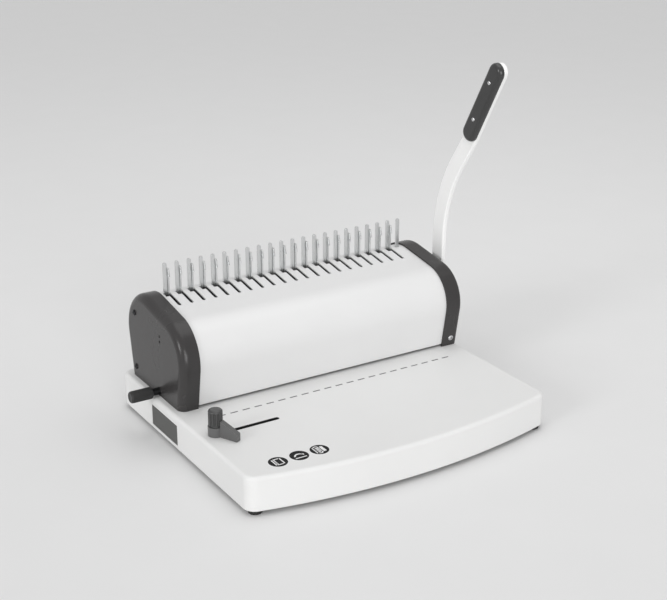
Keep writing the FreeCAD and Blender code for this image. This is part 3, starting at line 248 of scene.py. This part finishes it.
def dash_row_tree():
    """A straight row of flat bars of ink."""
    tree, given, result = tree_with("dash_row", [
        ("Count", "Int"), ("Start", "Vector"), ("Step", "Vector"), ("Bar", "Vector"),
        ("Finish", "Material")])
    line = tree.nodes.new("GeometryNodeMeshLine")
    dash = tree.nodes.new("GeometryNodeMeshCube")
    copies = tree.nodes.new("GeometryNodeInstanceOnPoints")
    tree.links.new(given.outputs["Count"], line.inputs["Count"])
    tree.links.new(given.outputs["Start"], line.inputs["Start Location"])
    tree.links.new(given.outputs["Step"], line.inputs["Offset"])
    tree.links.new(given.outputs["Bar"], dash.inputs["Size"])
    tree.links.new(line.outputs["Mesh"], copies.inputs["Points"])
    tree.links.new(dash.outputs["Mesh"], copies.inputs["Instance"])
    finished(tree, copies.outputs["Instances"], given, result)
    return tree


def grey(level):
    """A neutral colour."""
    return (level, level, level, 1)


def ink(name, tones, gloss, cloud):
    """Printed ink, a little uneven in its cover."""
    return skin(name, tones, gloss, INK_GRAIN, INK_PITS, cloud=cloud)


def dulled(material, shine):
    """Sets how strongly a material mirrors its surroundings."""
    material.node_tree.nodes["Principled BSDF"].inputs["Specular IOR Level"].default_value = shine


grey_ink = ink("grey_ink", (grey(0.10), grey(0.22)), INK_GLOSS, INK_CLOUD)
black_ink = ink("black_ink", (grey(0.006), grey(0.014)), BLACK_GLOSS, BLACK_CLOUD)
dulled(black_ink, INK_SHINE)
white_ink = ink("white_ink", (grey(0.70), grey(0.84)), INK_GLOSS, INK_CLOUD)
dash_marks = grown(dash_row_tree(), "dash_marks", {
    "Count": DASH_COUNT, "Start": (DASH_X, DASH_Y, (INK_LOW + INK_HIGH) / 2),
    "Step": (HOLE_PITCH, 0, 0), "Bar": (DASH_LONG, DASH_WIDE, INK_HIGH - INK_LOW), "Finish": grey_ink})
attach(dash_marks, "base")


def film(mesh, outline, low, high):
    """Adds one closed patch of ink with the given outline to a mesh."""
    bottom = [mesh.verts.new((x, y, low)) for x, y in outline]
    top = [mesh.verts.new((x, y, high)) for x, y in outline]
    mesh.faces.new(list(reversed(bottom)))
    mesh.faces.new(top)
    for index in range(len(outline)):
        after = (index + 1) % len(outline)
        mesh.faces.new((bottom[index], bottom[after], top[after], top[index]))


def arc(centre, radius, start, end, count):
    """Points on an arc, angles in degrees."""
    turns = [math.radians(start + (end - start) * step / count) for step in range(count + 1)]
    return [(centre[0] + radius * math.cos(turn), centre[1] + radius * math.sin(turn)) for turn in turns]


def band(centre, radius, width, start, end):
    """Outline of a part of a ring."""
    outer = arc(centre, radius + width / 2, start, end, BAND_STEPS)
    inner = arc(centre, radius - width / 2, start, end, BAND_STEPS)
    return outer + inner[::-1]


def bar(left, front, right, rear):
    """Outline of a rectangle."""
    return [(left, front), (right, front), (right, rear), (left, rear)]


def linked(name, mesh):
    """Turns a mesh under work into an object of the scene."""
    data = bpy.data.meshes.new(name)
    mesh.to_mesh(data)
    mesh.free()
    thing = bpy.data.objects.new(name, data)
    bpy.context.collection.objects.link(thing)
    return thing


def piece(name, mesh, material, body, *nodes):
    """Makes a finished piece of a mesh, fixes it to a body and lets it stand for its nodes."""
    bmesh.ops.recalc_face_normals(mesh, faces=mesh.faces)
    thing = linked(name, mesh)
    thing.data.materials.append(material)
    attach(thing, body)
    if nodes:
        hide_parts(*nodes)
    return thing


discs = bmesh.new()
for centre in DISC_CENTRES:
    film(discs, arc(centre, DISC_RADIUS, 0, 360 - 360 / DISC_SIDES, DISC_SIDES - 1), INK_LOW, INK_HIGH)
piece("sign_discs", discs, black_ink, "base")

# Signs on the discs, in white ink printed after the black. The first is a sheet with punched holes,
# the second the handle swung forward over the table, the third a comb with its rings and a page.
LINE = 0.0013
SHEET_HALF_WIDE, SHEET_HALF_LONG = 0.0044, 0.0056
SHEET_HOLES, SHEET_STEP = 5, 0.002
SHEET_HOLE_LEFT, SHEET_HOLE_RIGHT = -0.0030, -0.0014
ARROW_RADIUS, ARROW_HALF = 0.0052, 0.0017
ARROW_DROP, ARROW_LINE = 0.0022, LINE * 1.3
ARROW_START, ARROW_END = 40, 165
ARROW_HEAD = [(0.6, -1.5), (1, 0.2), (-1, 1)]
GROUND_HALF, GROUND_LOW, GROUND_HIGH = 0.0062, 0.0050, 0.0036
SPINE_LEFT, SPINE_RIGHT, SPINE_HALF = 0.0058, 0.0046, 0.0058
RING_COUNT, RING_STEP, RING_LEFT = 4, 0.0031, 0.0016
RING_RADIUS, RING_TURN = 0.0023, 150
PAGE_LEFT, PAGE_RIGHT, PAGE_HALF = 0.0022, 0.0054, 0.0052
sheet_x, sheet_y = DISC_CENTRES[0]
swing_x, swing_y = DISC_CENTRES[1]
comb_x, comb_y = DISC_CENTRES[2]
outlines = []
for side in (-1, 1):
    edge_x = sheet_x + side * SHEET_HALF_WIDE
    edge_y = sheet_y + side * SHEET_HALF_LONG
    outlines.append(bar(edge_x - LINE / 2, sheet_y - SHEET_HALF_LONG,
                        edge_x + LINE / 2, sheet_y + SHEET_HALF_LONG))
    outlines.append(bar(sheet_x - SHEET_HALF_WIDE + LINE, edge_y - LINE / 2,
                        sheet_x + SHEET_HALF_WIDE - LINE, edge_y + LINE / 2))
for index in range(SHEET_HOLES):
    hole_y = sheet_y + (index - (SHEET_HOLES - 1) / 2) * SHEET_STEP
    outlines.append(bar(sheet_x + SHEET_HOLE_LEFT, hole_y - LINE / 2,
                        sheet_x + SHEET_HOLE_RIGHT, hole_y + LINE / 2))
arrow_y = swing_y - ARROW_DROP
outlines.append(band((swing_x, arrow_y), ARROW_RADIUS, ARROW_LINE, ARROW_START, ARROW_END))
tip_x = swing_x + ARROW_RADIUS * math.cos(math.radians(ARROW_START))
tip_y = arrow_y + ARROW_RADIUS * math.sin(math.radians(ARROW_START))
outlines.append([(tip_x + ARROW_HALF * across, tip_y + ARROW_HALF * along)
                 for across, along in ARROW_HEAD])
outlines.append(bar(swing_x - GROUND_HALF, swing_y - GROUND_LOW,
                    swing_x + GROUND_HALF, swing_y - GROUND_HIGH))
outlines.append(bar(comb_x - SPINE_LEFT, comb_y - SPINE_HALF, comb_x - SPINE_RIGHT, comb_y + SPINE_HALF))
for index in range(RING_COUNT):
    ring_y = comb_y + (index - (RING_COUNT - 1) / 2) * RING_STEP
    outlines.append(band((comb_x - RING_LEFT, ring_y), RING_RADIUS, LINE, -RING_TURN, RING_TURN))
outlines.append(bar(comb_x + PAGE_LEFT, comb_y - PAGE_HALF, comb_x + PAGE_RIGHT, comb_y + PAGE_HALF))
signs = bmesh.new()
for outline in outlines:
    film(signs, outline, INK_LOW, SIGN_HIGH)
piece("sign_marks", signs, white_ink, "base")

# Rubber feet. Four black moulded feet, tapered and matt, that keep the machine from sliding. Each is
# held under a corner of the base by a screw sunk in its recess.
FOOT_TONES, FOOT_GLOSS = (grey(0.012), grey(0.024)), (0.75, 0.9)
FOOT_GRAIN, FOOT_PITS = 2500.0, 0.0002
foot_rubber = skin("foot_rubber", FOOT_TONES, FOOT_GLOSS, FOOT_GRAIN, FOOT_PITS)
dress(foot_rubber, "rubber_feet")

# Steel work inside. Zinc-plated sheet for the frames and the bottom plate, and drawn bar and plate
# for the shafts, the die set, the punch and the comb opener, with the drawing lines along X. The
# bushes of the shaft are brass.
STREAK_DETAIL = 4.0
STREAK_STRENGTH, STREAK_DEPTH = 0.15, 0.00005
PLATED_TONES, PLATED_GLOSS = ((0.52, 0.52, 0.50, 1), (0.66, 0.66, 0.65, 1)), (0.3, 0.45)
DRAWN_TONES, DRAWN_GLOSS = ((0.36, 0.36, 0.37, 1), (0.52, 0.52, 0.53, 1)), (0.25, 0.42)
BRASS_TONES, BRASS_GLOSS = ((0.62, 0.45, 0.18, 1), (0.74, 0.56, 0.26, 1)), (0.25, 0.4)
PLATED_LINES, DRAWN_LINES, BRASS_LINES = (60, 60, 60), (25, 1200, 1200), (40, 900, 900)


def steel(name, tones, gloss, lines, edge=0.0):
    """Bare or plated metal: fine lines along the way it was drawn or ground, with a cloudy tone."""
    material, tree, shader = blank(name)
    shader.inputs["Metallic"].default_value = 1.0
    place = tree.nodes.new("ShaderNodeTexCoord")
    stretch = tree.nodes.new("ShaderNodeMapping")
    stretch.inputs["Scale"].default_value = lines
    streaks = tree.nodes.new("ShaderNodeTexNoise")
    streaks.inputs["Scale"].default_value = 1.0
    streaks.inputs["Detail"].default_value = STREAK_DETAIL
    tree.links.new(place.outputs["Object"], stretch.inputs["Vector"])
    tree.links.new(stretch.outputs["Vector"], streaks.inputs["Vector"])
    shaded(tree, streaks.outputs["Fac"], tones, gloss)
    relief = raised(tree, streaks.outputs["Fac"], STREAK_STRENGTH, STREAK_DEPTH)
    if edge:
        rounded(tree, relief, edge)
    return material


plated_sheet = steel("plated_sheet", PLATED_TONES, PLATED_GLOSS, PLATED_LINES)
drawn_steel = steel("drawn_steel", DRAWN_TONES, DRAWN_GLOSS, DRAWN_LINES)
bush_brass = steel("bush_brass", BRASS_TONES, BRASS_GLOSS, BRASS_LINES)
dress(plated_sheet, "bottom_plate", "side_frame_left", "side_frame_right", "tray_runners", "frame_bolts",
      "shaft_clip", "stop_shoe", "stop_bolt")
dress(drawn_steel, "front_tie_rod", "rear_tie_rod", "die_plate", "punch_guide", "die_spacers",
      "punch_bar", "punch_pins", "spring_studs", "main_shaft", "lift_cams", "drive_pinions",
      "hook_carriage", "carriage_racks", "finger_bar", "margin_cams", "back_gauge")
dress(bush_brass, "shaft_bushes")

# Drum cover. Sheet steel bent over two rolls and powder-coated white, slotted for the comb hooks.
# The rear sheet closes the drum below the fingers.
COVER_TONES = (grey(0.690), grey(0.725))
COAT_GLOSS, COAT_GRAIN, COAT_PITS, COAT_EDGE = (0.3, 0.4), 700.0, 0.00008, 0.0004


def powder_coat(name, tones):
    """White powder coat on steel, satin, with a faint orange peel."""
    return skin(name, tones, COAT_GLOSS, COAT_GRAIN, COAT_PITS, COAT_EDGE)


cover_paint = powder_coat("cover_paint", COVER_TONES)
dress(cover_paint, "drum_cover", "rear_cover")

# End caps. Two covers of dark grey moulded plastic, semi-gloss, one at each end of the drum. They
# are pushed over the side frames and screwed on.
CAP_TONES = ((0.030, 0.028, 0.028, 1), (0.050, 0.048, 0.048, 1))
CAP_GLOSS, CAP_GRAIN, CAP_PITS, CAP_EDGE = (0.20, 0.30), 1800.0, 0.0001, 0.0004
CAP_SHINE = 0.3
cap_plastic = skin("cap_plastic", CAP_TONES, CAP_GLOSS, CAP_GRAIN, CAP_PITS, CAP_EDGE)
dulled(cap_plastic, CAP_SHINE)
dress(cap_plastic, "end_cap_left", "end_cap_right")

# Screws. Pan-head screws with a cross recess: blackened ones in the sides of the end caps, bright
# plated ones at the front of the right cap and in the feet.
SCREW_RADIUS, SCREW_RISE, SCREW_SEAT = 0.0032, 0.0018, 0.0004
SCREW_RIM, SCREW_STEPS, SCREW_SIDES = 0.45, (0, 20, 40, 60, 75), 32
CROSS_LONG, CROSS_WIDE, CROSS_DEEP = 0.0019, 0.00042, 0.0012
LEFT_FACE, RIGHT_FACE = -0.174, 0.182
CAP_HOLES = [(0.1315, 0.117), (0.1337, 0.053)]
CAP_SEATS = [((face, y, z), (way, 0, 0)) for face, way in ((LEFT_FACE, -1), (RIGHT_FACE, 1))
             for y, z in CAP_HOLES]
FRONT_LEAN = math.radians(9.5)
FRONT_SEAT = ((0.1715, 0.02277, 0.0510), (0, -math.cos(FRONT_LEAN), -math.sin(FRONT_LEAN)))
FOOT_X, FOOT_ROWS, FOOT_RECESS = 0.171, (-0.12795, 0.143), 0.0025
FOOT_SEATS = [((x, y, FOOT_RECESS), (0, 0, -1)) for x in (-FOOT_X, FOOT_X) for y in FOOT_ROWS]
BLACKENED_TONES, BLACKENED_GLOSS = ((0.030, 0.030, 0.032, 1), (0.085, 0.085, 0.088, 1)), (0.22, 0.36)
BRIGHT_TONES, BRIGHT_GLOSS = ((0.60, 0.60, 0.61, 1), (0.76, 0.76, 0.77, 1)), (0.18, 0.3)
BLACKENED_LINES, BRIGHT_LINES, BRIGHT_EDGE = (700, 700, 700), (200, 200, 200), 0.0002


def domed(radius, rise, seat, rim, steps):
    """Profile of a round head, upright to a share of its height and domed above it."""
    turns = [math.radians(step) for step in steps]
    dome = [(radius * math.cos(turn), rise * (rim + (1 - rim) * math.sin(turn))) for turn in turns]
    return [(0, -seat), (radius, -seat)] + dome + [(0, rise)]


def turned(profile, count):
    """A closed mesh turned about Z from (radius, height) points that start and end on the axis."""
    mesh = bmesh.new()
    turns = [2 * math.pi * step / count for step in range(count)]
    rings = []
    for radius, height in profile:
        if radius == 0:
            rings.append([mesh.verts.new((0, 0, height))])
        else:
            rings.append([mesh.verts.new((radius * math.cos(turn), radius * math.sin(turn), height))
                          for turn in turns])
    for low, high in zip(rings, rings[1:]):
        for index in range(count):
            after = (index + 1) % count
            corners = [low[index % len(low)], low[after % len(low)],
                       high[after % len(high)], high[index % len(high)]]
            mesh.faces.new(list(dict.fromkeys(corners)))
    bmesh.ops.recalc_face_normals(mesh, faces=mesh.faces)
    return mesh


def screw_pattern():
    """A domed head with a cross sunk into it."""
    profile = domed(SCREW_RADIUS, SCREW_RISE, SCREW_SEAT, SCREW_RIM, SCREW_STEPS)
    head = linked("screw_pattern", turned(profile, SCREW_SIDES))
    cross = bmesh.new()
    for long, wide in ((CROSS_LONG, CROSS_WIDE), (CROSS_WIDE, CROSS_LONG)):
        film(cross, bar(-long, -wide, long, wide), SCREW_RISE - CROSS_DEEP, SCREW_RISE * 2)
    bmesh.ops.recalc_face_normals(cross, faces=cross.faces)
    tool = linked("cross_tool", cross)
    sink = head.modifiers.new("cross", "BOOLEAN")
    sink.object = tool
    sink.operation = "DIFFERENCE"
    sink.use_self = True
    bpy.context.view_layer.update()
    data = bpy.data.meshes.new_from_object(head.evaluated_get(bpy.context.evaluated_depsgraph_get()))
    head.modifiers.remove(sink)
    head.data = data
    bpy.data.objects.remove(tool)
    return head


def seated_tree():
    """Copies of a pattern on points, each turned to the way that its seat faces."""
    tree, given, result = tree_with("seated", [("Pattern", "Object"), ("Finish", "Material")])
    source = tree.nodes.new("GeometryNodeObjectInfo")
    facing = tree.nodes.new("GeometryNodeInputNamedAttribute")
    facing.data_type = "FLOAT_VECTOR"
    facing.inputs["Name"].default_value = "facing"
    turn = tree.nodes.new("FunctionNodeAlignRotationToVector")
    turn.axis = "Z"
    copies = tree.nodes.new("GeometryNodeInstanceOnPoints")
    tree.links.new(given.outputs["Pattern"], source.inputs["Object"])
    tree.links.new(given.outputs["Points"], copies.inputs["Points"])
    tree.links.new(source.outputs["Geometry"], copies.inputs["Instance"])
    tree.links.new(facing.outputs["Attribute"], turn.inputs["Vector"])
    tree.links.new(turn.outputs["Rotation"], copies.inputs["Rotation"])
    finished(tree, copies.outputs["Instances"], given, result)
    return tree


seated = seated_tree()


def seat_all(name, seats, shape, material, body, node):
    """Sets a pattern on every seat, as one piece that stands for a node."""
    points = bpy.data.meshes.new(name)
    points.from_pydata([place for place, _ in seats], [], [])
    ways = points.attributes.new("facing", "FLOAT_VECTOR", "POINT")
    for index, (_, way) in enumerate(seats):
        ways.data[index].vector = way
    thing = grown(seated, name, {"Pattern": shape, "Finish": material}, points)
    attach(thing, body)
    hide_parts(node)
    return thing


black_screw = steel("black_screw", BLACKENED_TONES, BLACKENED_GLOSS, BLACKENED_LINES)
bright_steel = steel("bright_steel", BRIGHT_TONES, BRIGHT_GLOSS, BRIGHT_LINES, BRIGHT_EDGE)
screw = screw_pattern()
seat_all("cap_screw_heads", CAP_SEATS, screw, black_screw, "base", "cap_screws")
seat_all("cap_front_screw", [FRONT_SEAT], screw, bright_steel, "base", "cap_screws")
seat_all("foot_screw_heads", FOOT_SEATS, screw, plated_sheet, "base", "foot_screws")
bpy.data.objects.remove(screw)

# Return springs. Two coils of hard-drawn wire stand on studs under the punch bar and lift it after each
# stroke. Here they keep one length, fixed to the base.
SPRING_WIRE, SPRING_TURNS = 0.0006, 6
SPRING_STEPS, WIRE_SIDES = 40, 12
spring_low, spring_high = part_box("return_springs")
spring_reach = (spring_high.y - spring_low.y) / 2
spring_tall = spring_high.z - spring_low.z


def closed(mesh, rings):
    """Joins rings of the same count of points into one skin, and closes both its ends."""
    count = len(rings[0])
    for low, high in zip(rings, rings[1:]):
        for index in range(count):
            after = (index + 1) % count
            mesh.faces.new((low[index], low[after], high[after], high[index]))
    mesh.faces.new(rings[0])
    mesh.faces.new(rings[-1])


def coil_pattern():
    """One round wire wound up a helix about Z."""
    mesh = bmesh.new()
    radius = spring_reach - SPRING_WIRE
    rings = []
    for step in range(SPRING_TURNS * SPRING_STEPS + 1):
        turn = 2 * math.pi * step / SPRING_STEPS
        height = SPRING_WIRE + (spring_tall - 2 * SPRING_WIRE) * step / (SPRING_TURNS * SPRING_STEPS)
        ring = []
        for side in range(WIRE_SIDES):
            round_wire = 2 * math.pi * side / WIRE_SIDES
            reach = radius + SPRING_WIRE * math.cos(round_wire)
            ring.append(mesh.verts.new((reach * math.cos(turn), reach * math.sin(turn),
                                        height + SPRING_WIRE * math.sin(round_wire))))
        rings.append(ring)
    closed(mesh, rings)
    bmesh.ops.recalc_face_normals(mesh, faces=mesh.faces)
    return linked("coil_pattern", mesh)


coil = coil_pattern()
spring_y = (spring_low.y + spring_high.y) / 2
spring_seats = [((x, spring_y, spring_low.z), (0, 0, 1))
                for x in (spring_low.x + spring_reach, spring_high.x - spring_reach)]
springs = seat_all("return_spring_coils", spring_seats, coil, drawn_steel, "base", "return_springs")
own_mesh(springs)
bpy.data.objects.remove(coil)

# Comb fingers and hooks. Stamped steel strips with ground edges, plated bright. The fingers stand
# still, and the hooks run forward in the slits of the drum and pull the rings of the comb open.
FINGER_TONES, FINGER_GLOSS = ((0.60, 0.61, 0.61, 1), (0.78, 0.79, 0.79, 1)), (0.24, 0.36)
FINGER_LINES, FINGER_EDGE = (900, 900, 40), 0.0005
finger_steel = steel("finger_steel", FINGER_TONES, FINGER_GLOSS, FINGER_LINES, FINGER_EDGE)
dress(finger_steel, "comb_fingers", "comb_hooks")

# Handle. A white powder-coated steel bar with a black moulded grip, held by two round-head rivets.
# A hexagon bolt and a plain washer hold it on the end of the main shaft.
HANDLE_TONES = ((0.81, 0.81, 0.805, 1), (0.85, 0.85, 0.845, 1))
GRIP_TONES, GRIP_GLOSS = (grey(0.022), grey(0.042)), (0.18, 0.28)
PLASTIC_GRAIN, PLASTIC_PITS = 1600.0, 0.00012
RIVET_RADIUS, RIVET_RISE, RIVET_SEAT = 0.0022, 0.0009, 0.0003
RIVET_STEPS, RIVET_SIDES = (0, 18, 36, 54, 72), 24
RIVET_PLACES = [(0.01081, 0.30975), (-0.01367, 0.35392)]
GRIP_FACE, BAR_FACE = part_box("grip_scale")[0].x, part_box("handle_bar")[1].x
BOLT_CENTRE = Vector((0, 0.076, 0.093))
BOLT_FLAT = 0.00693
BOLT_LEVELS, BOLT_SIDES = 9, 72
CHAMFER_SHARE, CHAMFER_TOP, CHAMFER_SLOPE = 0.35, 0.95, 1.7
handle_paint = powder_coat("handle_paint", HANDLE_TONES)
grip_plastic = skin("grip_plastic", GRIP_TONES, GRIP_GLOSS, PLASTIC_GRAIN, PLASTIC_PITS)
dress(handle_paint, "handle_bar")
dress(grip_plastic, "grip_scale")
dress(bright_steel, "handle_washer", "handle_spacer")
rivet_profile = domed(RIVET_RADIUS, RIVET_RISE, RIVET_SEAT, 0, RIVET_STEPS)
rivet = linked("rivet_pattern", turned(rivet_profile, RIVET_SIDES))
rivet_seats = [((face, y, z), (way, 0, 0)) for face, way in ((GRIP_FACE, -1), (BAR_FACE, 1))
               for y, z in RIVET_PLACES]
seat_all("grip_rivet_heads", rivet_seats, rivet, bright_steel, "handle", "grip_rivets")
bpy.data.objects.remove(rivet)


def ring_across(mesh, x, y, z, reaches):
    """Points round an axis along X, each at its own distance from the axis."""
    turns = [2 * math.pi * step / len(reaches) for step in range(len(reaches))]
    return [mesh.verts.new((x, y + reach * math.cos(turn), z + reach * math.sin(turn)))
            for turn, reach in zip(turns, reaches)]


bolt_low, bolt_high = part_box("handle_washer")[1].x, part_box("handle_bolt")[1].x
bolt_turns = [2 * math.pi * step / BOLT_SIDES for step in range(BOLT_SIDES)]
bolt_flats = [BOLT_FLAT / math.cos((turn + math.pi / 6) % (math.pi / 3) - math.pi / 6)
              for turn in bolt_turns]
bolt_head = bmesh.new()
bolt_rings = [ring_across(bolt_head, bolt_low, BOLT_CENTRE.y, BOLT_CENTRE.z, bolt_flats)]
for level in range(1, BOLT_LEVELS):
    share = level / (BOLT_LEVELS - 1)
    height = bolt_high - (bolt_high - bolt_low) * CHAMFER_SHARE * (1 - share) ** 2
    cone = BOLT_FLAT * CHAMFER_TOP + (bolt_high - height) * CHAMFER_SLOPE
    reaches = [min(flat, cone) for flat in bolt_flats]
    bolt_rings.append(ring_across(bolt_head, height, BOLT_CENTRE.y, BOLT_CENTRE.z, reaches))
closed(bolt_head, bolt_rings)
bolt_piece = piece("handle_bolt_head", bolt_head, bright_steel, "handle", "handle_bolt")

# Margin knob. A black moulded knob with fine grip ribs and a dished end, pressed on the blackened
# end of the gauge shaft. Its profile runs from the cap outwards: depth, share of the radius, ribs.
KNOB_TONES, KNOB_GLOSS = (grey(0.014), grey(0.028)), (0.36, 0.5)
SHAFT_TONES, SHAFT_GLOSS = ((0.020, 0.020, 0.021, 1), (0.050, 0.050, 0.052, 1)), (0.3, 0.45)
SHAFT_LINES = (25, 900, 900)
KNOB_RIBS, KNOB_RIB_DEEP = 30, 0.00035
RIB_POINTS = 6
KNOB_SIDES = KNOB_RIBS * RIB_POINTS
KNOB_PROFILE = [(0.0, 0.90, 0), (0.0005, 0.97, 0), (0.0013, 1.0, 1), (0.0220, 1.0, 1), (0.0232, 0.98, 0),
                (0.0241, 0.90, 0), (0.0246, 0.80, 0), (0.0243, 0.66, 0), (0.0241, 0.30, 0)]
knob_low, knob_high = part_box("margin_knob")
knob_y, knob_z = (knob_low.y + knob_high.y) / 2, (knob_low.z + knob_high.z) / 2
knob_reach = (knob_high.z - knob_low.z) / 2
knob_plastic = skin("knob_plastic", KNOB_TONES, KNOB_GLOSS, PLASTIC_GRAIN, PLASTIC_PITS)
black_steel = steel("black_steel", SHAFT_TONES, SHAFT_GLOSS, SHAFT_LINES)
dress(black_steel, "margin_shaft")
knob_turns = [2 * math.pi * step / KNOB_SIDES for step in range(KNOB_SIDES)]
knob_dips = [KNOB_RIB_DEEP * (0.5 - 0.5 * math.cos(KNOB_RIBS * turn)) for turn in knob_turns]
knob = bmesh.new()
knob_rings = []
for depth, share, ribbed in KNOB_PROFILE:
    reaches = [knob_reach * share - dip * ribbed for dip in knob_dips]
    knob_rings.append(ring_across(knob, knob_high.x - depth, knob_y, knob_z, reaches))
closed(knob, knob_rings)
knob_piece = piece("margin_knob_ribbed", knob, knob_plastic, "margin_dial", "margin_knob")

# Side stop. A dark grey moulded stop with a fin, which sets the edge of the paper. It runs along a
# black-lined slot in the table, and its fluted knob, a shade darker, clamps it with a bolt.
STOP_TONES, STOP_GLOSS, STOP_EDGE = (grey(0.085), grey(0.125)), (0.20, 0.30), 0.0004
CLAMP_TONES, CLAMP_GLOSS, CLAMP_EDGE = (grey(0.035), grey(0.065)), (0.16, 0.26), 0.0003
stop_plastic = skin("stop_plastic", STOP_TONES, STOP_GLOSS, PLASTIC_GRAIN, PLASTIC_PITS, STOP_EDGE)
stop_knob_plastic = skin("stop_knob_plastic", CLAMP_TONES, CLAMP_GLOSS, PLASTIC_GRAIN, PLASTIC_PITS,
                         CLAMP_EDGE)
dress(stop_plastic, "side_stop")
dress(stop_knob_plastic, "stop_knob")
dress(knob_plastic, "slot_liner")

# Chip tray. A long drawer of dark grey moulded plastic that catches the punched chips. It slides on
# two runners, and its flat front lies in the left wall of the base.
TRAY_TONES = ((0.072, 0.073, 0.070, 1), (0.105, 0.107, 0.102, 1))
TRAY_GLOSS, TRAY_GRAIN, TRAY_PITS, TRAY_EDGE = (0.5, 0.65), 1400.0, 0.00015, 0.0004
tray_plastic = skin("tray_plastic", TRAY_TONES, TRAY_GLOSS, TRAY_GRAIN, TRAY_PITS, TRAY_EDGE)
dress(tray_plastic, "tray_front", "chip_tray")

# Floor, light and camera. A plain pale table top, soft light from above, in front and the left, and
# a long lens at the height and angle of the photograph.
FLOOR_REACH = 6.0
FLOOR_TONES, FLOOR_GLOSS = (grey(0.76), grey(0.78)), (0.645, 0.655)
FLOOR_GRAIN, FLOOR_PITS = 60.0, 0.000005
WORLD_LIGHT = 0.61
TOP_PLACE, TOP_AIM, TOP_POWER, TOP_SIZE = (0.2, 0.1, 1.7), (0, 0, 0), 8.2, 1.4
SUN_AIM = (0, 0, 0.1)
FRONT_PLACE, FRONT_POWER, SOFT_FRONT = (-0.5, -2.0, 0.42), 1.36, math.radians(34)
LEFT_PLACE, LEFT_POWER, SOFT_LEFT = (-1.7, -0.4, 0.7), 0.76, math.radians(18)
EYE = Vector((-0.6874, -1.0868, 0.6356))
AZIMUTH, ELEVATION, ROLL = math.radians(-32.19), math.radians(21.09), math.radians(0.26)
FOCUS_PIXELS, FRAME_PIXELS, SENSOR = 1303.15, 667, 36.0
floor_mesh = bpy.data.meshes.new("floor")
floor_corners = [(x, y, 0) for x, y in bar(-FLOOR_REACH, -FLOOR_REACH, FLOOR_REACH, FLOOR_REACH)]
floor_mesh.from_pydata(floor_corners, [], [(0, 1, 2, 3)])
floor = bpy.data.objects.new("floor", floor_mesh)
bpy.context.collection.objects.link(floor)
floor_mesh.materials.append(skin("floor_paint", FLOOR_TONES, FLOOR_GLOSS, FLOOR_GRAIN, FLOOR_PITS))

world = bpy.data.worlds.new("studio")
bpy.context.scene.world = world
world.use_nodes = True
world.node_tree.nodes["Background"].inputs["Color"].default_value = (1.0, 1.0, 1.0, 1)
world.node_tree.nodes["Background"].inputs["Strength"].default_value = WORLD_LIGHT


def lamp_from(name, kind, place, aim, strength):
    """A lamp that faces a point."""
    lamp = bpy.data.lights.new(name, kind)
    lamp.energy = strength
    thing = bpy.data.objects.new(name, lamp)
    thing.location = place
    thing.rotation_euler = (Vector(aim) - Vector(place)).to_track_quat("-Z", "Y").to_euler()
    bpy.context.collection.objects.link(thing)
    return lamp


lamp_from("top_panel", "AREA", TOP_PLACE, TOP_AIM, TOP_POWER).size = TOP_SIZE
lamp_from("front_light", "SUN", FRONT_PLACE, SUN_AIM, FRONT_POWER).angle = SOFT_FRONT
lamp_from("left_light", "SUN", LEFT_PLACE, SUN_AIM, LEFT_POWER).angle = SOFT_LEFT

right = Vector((math.cos(AZIMUTH), math.sin(AZIMUTH), 0))
back = Vector((math.sin(AZIMUTH) * math.cos(ELEVATION), -math.cos(AZIMUTH) * math.cos(ELEVATION),
               math.sin(ELEVATION)))
up = back.cross(right)
turned_right = right * math.cos(ROLL) + up * math.sin(ROLL)
turned_up = up * math.cos(ROLL) - right * math.sin(ROLL)
lens = bpy.data.cameras.new("camera")
lens.sensor_width = SENSOR
lens.lens = FOCUS_PIXELS / FRAME_PIXELS * SENSOR
camera = bpy.data.objects.new("camera", lens)
facing_back = Matrix((turned_right, turned_up, back)).transposed().to_4x4()
camera.matrix_world = Matrix.Translation(EYE) @ facing_back
bpy.context.collection.objects.link(camera)
bpy.context.scene.camera = camera
bpy.context.scene.view_settings.view_transform = "Standard"
